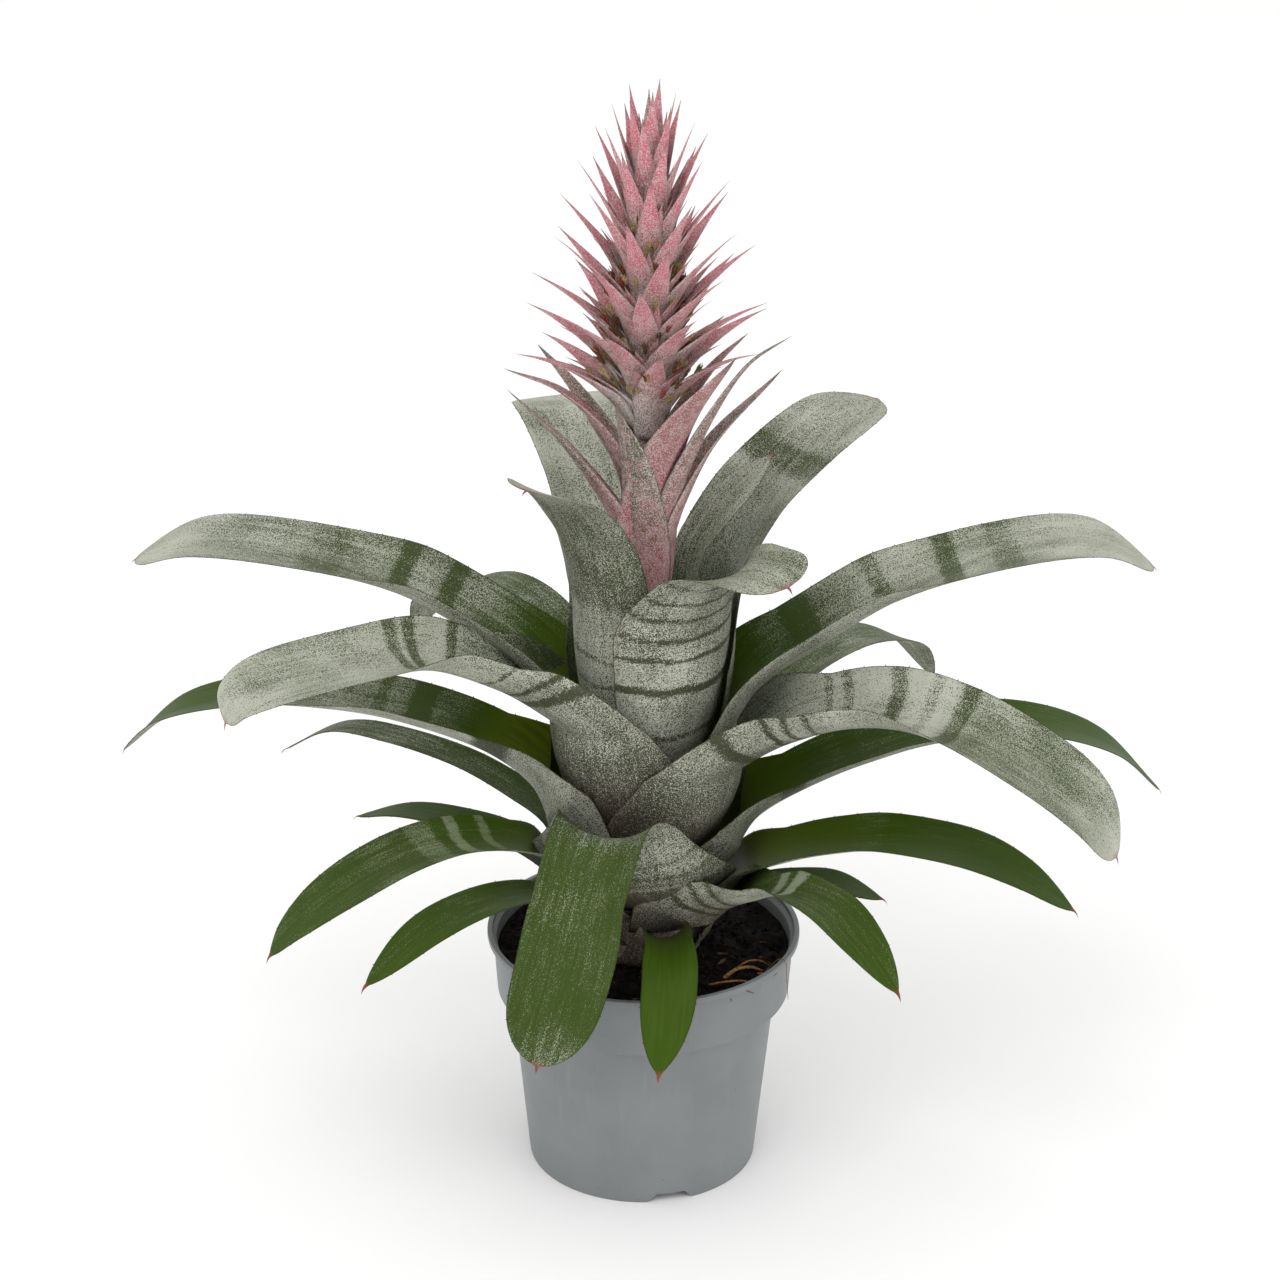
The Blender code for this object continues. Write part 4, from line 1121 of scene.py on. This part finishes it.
# Flower head
# Keeled pink bracts in one spiral up the stalk, each drawn out to a sharp grey point. The
# lower ones stand out nearly level, and the crowded upper ones close over the top. Each
# carries a tuft of smaller bracts in its axil, round the flowers.
FLOWER_BRACTS = 58
SEPARATE_FLOWER_BRACTS = 26
SPIRAL_START = 140
SPIRAL_STEP = 137.5
FLOWER_FOOT = 322
FLOWER_RISE = 1.8
FLOWER_BRACT_WIDTH = (18, 13)
FLOWER_BRACT_FOLD = 8
FLOWER_BRACT_PATH_PIECES = 6
BRACT_ROWS = 22
BRACT_COLUMNS = 8
LEAN_AT_FOOT = 57
LEAN_AT_TOP = 7
FRONT_UPRIGHT = 20
# (how far up the head from 0 to 1, length of a bract there)
LENGTHS = ((0, 60), (0.25, 57), (0.45, 55), (0.7, 53), (0.85, 48), (1, 41))
CURL = 26
# Each small bract of a tuft: turn from the large one, share of its length, lean, rise.
TUFT = ((-16, 0.64, -9, 2.2), (14, 0.7, -7, 1.6), (-5, 0.5, -18, 4.2))
TUFT_WIDTH = 0.72
TUFT_ROWS = 14
TUFT_THICKNESS = 0.35


def flower_bract_path(azimuth, share, seat_radius, height, longer=1, leaning=0):
    """Leaves the stalk steeply and leans out more towards its point, less so at the front."""
    front = max(0, -math.sin(math.radians(azimuth))) ** 2
    lean = mix(LEAN_AT_FOOT, LEAN_AT_TOP, share**1.1)
    lean = lean + (leaning - FRONT_UPRIGHT * front) * (1 - share)
    curl = CURL * (1 - share)
    length = along_table(LENGTHS, share)[0] * longer
    path = [(seat_radius, height)]
    pieces = FLOWER_BRACT_PATH_PIECES
    for piece in range(pieces):
        angle = math.radians(lean + curl * (2 * (piece + 0.5) / pieces - 1))
        radius = path[-1][0] + length / pieces * math.sin(angle)
        path.append((radius, path[-1][1] + length / pieces * math.cos(angle)))
    return path


def flower_bract_net(index, turn=0, longer=1, leaning=0, rise=0, narrower=1, rows=BRACT_ROWS):
    """The net of one bract on the spiral, or of a smaller one beside it."""
    share = index / (FLOWER_BRACTS - 1)
    azimuth = SPIRAL_START + SPIRAL_STEP * index + turn
    height = FLOWER_FOOT + FLOWER_RISE * index + rise
    return bract_net(
        azimuth,
        0,
        mix(*FLOWER_BRACT_WIDTH, share) * narrower,
        flower_bract_path(azimuth, share, seat_of(index), height, longer, leaning),
        FLOWER_BRACT_FOLD * mix(1, narrower, 0.6),
        rows,
        BRACT_COLUMNS,
    )


def seat_of(index):
    """How far from the stalk's middle a bract starts. The upper ones stand on the thin core."""
    if index < SEPARATE_FLOWER_BRACTS:
        return 5.9
    return 2.5 + 5 * (1 - index / FLOWER_BRACTS)


for index in range(FLOWER_BRACTS):
    name = f"flower_bract_{index + 1:02d}"
    pink_ends = (0, mix(0.78, 1, smooth_step(0, 0.35, index / FLOWER_BRACTS)))
    mesh = bract_mesh(name, flower_bract_net(index), pink_ends, index * 1.7)
    piece = add_piece("pink_" + name, mesh, pink_bract)
    if index < SEPARATE_FLOWER_BRACTS:
        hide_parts(name)
    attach(piece, "root")

for index in range(FLOWER_BRACTS):
    chance = random.Random(index)
    tuft = bmesh.new()
    for place, (turn, longer, leaning, rise) in enumerate(TUFT):
        turn += chance.uniform(-5, 5)
        longer *= chance.uniform(0.88, 1.08)
        net = flower_bract_net(index, turn, longer, leaning, rise, TUFT_WIDTH, TUFT_ROWS)
        seed = index * 1.7 + place * 7
        mesh = bract_mesh("floral_bract", net, (0, 0.6), seed, thickness=TUFT_THICKNESS)
        tuft.from_mesh(mesh)
        bpy.data.meshes.remove(mesh)
    name = f"floral_bracts_{index + 1:02d}"
    piece = add_piece(name, mesh_of(tuft, name), pink_bract)
    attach(piece, "root")

FLOWER_CORE = ((0, 462), (2.2, 445), (3.6, 425), (4.4, 400), (4.6, 367.4), (0, 367.4))
core = add_piece("flower_head_core", turned_mesh("flower_head_core", FLOWER_CORE, 24), stalk_scurf)
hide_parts("flower_tip")
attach(core, "root")


# Spent flowers
# Dry brown and yellow remains of the flowers between the bracts: a few twisted sepals round a
# short tube. Some still show red or green.
SPENT_COLOURS = {
    "brown": (0.1, 0.055, 0.025),
    "straw": (0.3, 0.22, 0.1),
    "rust": (0.2, 0.05, 0.03),
    "olive": (0.13, 0.12, 0.04),
}
SPENT_ODDS = (5, 5, 2, 1)
SPENT_SEPALS = 5
SPENT_PER_BRACT = 6
BRACTS_WITH_SPENT = range(2, 44)


def spent_flower(form, foot, heading, length, chance):
    """A tube and the twisted sepals at its mouth, from the foot in millimetres."""
    side = heading.cross(Vector((0, 0, 1))).normalized()
    mouth = foot + heading * length * 0.45
    thread(form, (foot, foot.lerp(mouth, 0.5), mouth), 0.6, 0.9, 5)
    for sepal in range(SPENT_SEPALS):
        turn = math.tau * (sepal + chance.uniform(-0.2, 0.2)) / SPENT_SEPALS
        spread = side * math.cos(turn) + heading.cross(side) * math.sin(turn)
        middle = mouth + heading * length * 0.22 + spread * length * 0.16
        curled = chance.uniform(-0.1, 0.3)
        end = mouth + heading * length * chance.uniform(0.4, 0.6) + spread * length * curled
        thread(form, (mouth + spread * 0.4, middle, end), 0.55, 0.1, 4)


for colour_name, colour in SPENT_COLOURS.items():
    finish, wire, shader = new_finish("spent_flower_" + colour_name, Specular_IOR_Level=0.2)
    wrinkle = wire.grain(0.0008, 3)
    pale = tuple(part * 1.8 for part in colour)
    join(
        shader,
        Base_Color=wrinkle.step(0.35, 0.7).between(colour, pale),
        Roughness=0.75 + wrinkle * 0.2,
        Normal=wire.relief(wrinkle, 0.0003),
    )
    form = bmesh.new()
    for index in BRACTS_WITH_SPENT:
        chance = random.Random(index * 31)
        share = index / (FLOWER_BRACTS - 1)
        for _ in range(SPENT_PER_BRACT):
            kind = chance.choices(list(SPENT_COLOURS), SPENT_ODDS)[0]
            azimuth = SPIRAL_START + SPIRAL_STEP * index + chance.uniform(-42, 42)
            reach = mix(20, 8, share) * chance.uniform(0.5, 1.15)
            lean = math.radians(mix(LEAN_AT_FOOT, LEAN_AT_TOP, share) - 12)
            if kind != colour_name:
                continue
            out = facing(math.radians(azimuth))
            heading = (out * math.sin(lean) + Vector((0, 0, math.cos(lean)))).normalized()
            foot = out * 6 + Vector((0, 0, FLOWER_FOOT + FLOWER_RISE * index + 4)) + heading * reach
            spent_flower(form, foot, heading, chance.uniform(4, 7.5), chance)
    name = "spent_flowers_" + colour_name
    piece = add_piece(name, mesh_of(form, name), finish)
    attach(piece, "root")


# Studio
# A wide pale floor under even daylight, with a large soft lamp above the front left and a
# weaker one at the right. The camera looks down on the plant from the front.
FLOOR_SIZE = 12
AIM = Vector((-2.16, 0, 235.32)) * MM
DISTANCE = 1.5
ELEVATION = math.radians(24.07)
ROLL = math.radians(0.35)
SENSOR_WIDTH = 36
FOCAL_LENGTH = 104.83

paper, wire, shader = new_finish("pale_floor", Roughness=0.9, Specular_IOR_Level=0.1)
tooth = wire.grain(0.4, 2)
join(shader, Base_Color=tooth.between((0.93, 0.93, 0.925), (0.95, 0.95, 0.945)))
floor_mesh = bpy.data.meshes.new("floor")
half = FLOOR_SIZE / 2
floor_corners = [(-half, -half, 0), (half, -half, 0), (half, half, 0), (-half, half, 0)]
floor_mesh.from_pydata(floor_corners, [], [(0, 1, 2, 3)])
floor = add_piece("floor", floor_mesh, paper)

camera_data = bpy.data.cameras.new("camera")
camera_data.sensor_width = SENSOR_WIDTH
camera_data.lens = FOCAL_LENGTH
camera_data.clip_end = 60
camera = bpy.data.objects.new("camera", camera_data)
bpy.context.scene.collection.objects.link(camera)
back = Vector((0, -math.cos(ELEVATION), math.sin(ELEVATION)))
right, up = Vector((1, 0, 0)), Vector((0, math.sin(ELEVATION), math.cos(ELEVATION)))
rolled_right = right * math.cos(ROLL) + up * math.sin(ROLL)
rolled_up = up * math.cos(ROLL) - right * math.sin(ROLL)
stance = Matrix((rolled_right, rolled_up, back)).transposed().to_4x4()
camera.matrix_world = Matrix.Translation(AIM + back * DISTANCE) @ stance
bpy.context.scene.camera = camera


def soft_lamp(name, place, power, size):
    """A square lamp that faces the plant."""
    lamp = bpy.data.lights.new(name, "AREA")
    lamp.energy = power
    lamp.size = size
    made = bpy.data.objects.new(name, lamp)
    bpy.context.scene.collection.objects.link(made)
    made.location = place
    made.rotation_euler = (Vector(place) - AIM).to_track_quat("Z", "Y").to_euler()


soft_lamp("key_lamp", (-0.7, -1.5, 2.2), power=20, size=1.6)
soft_lamp("fill_lamp", (1.5, -1.4, 1.2), power=6, size=1.5)

world = bpy.data.worlds.new("daylight")
world.use_nodes = True
sky = world.node_tree.nodes["Background"]
sky.inputs["Color"].default_value = (1, 1, 1, 1)
sky.inputs["Strength"].default_value = 1.0
bpy.context.scene.world = world
bpy.context.scene.view_settings.view_transform = "Standard"
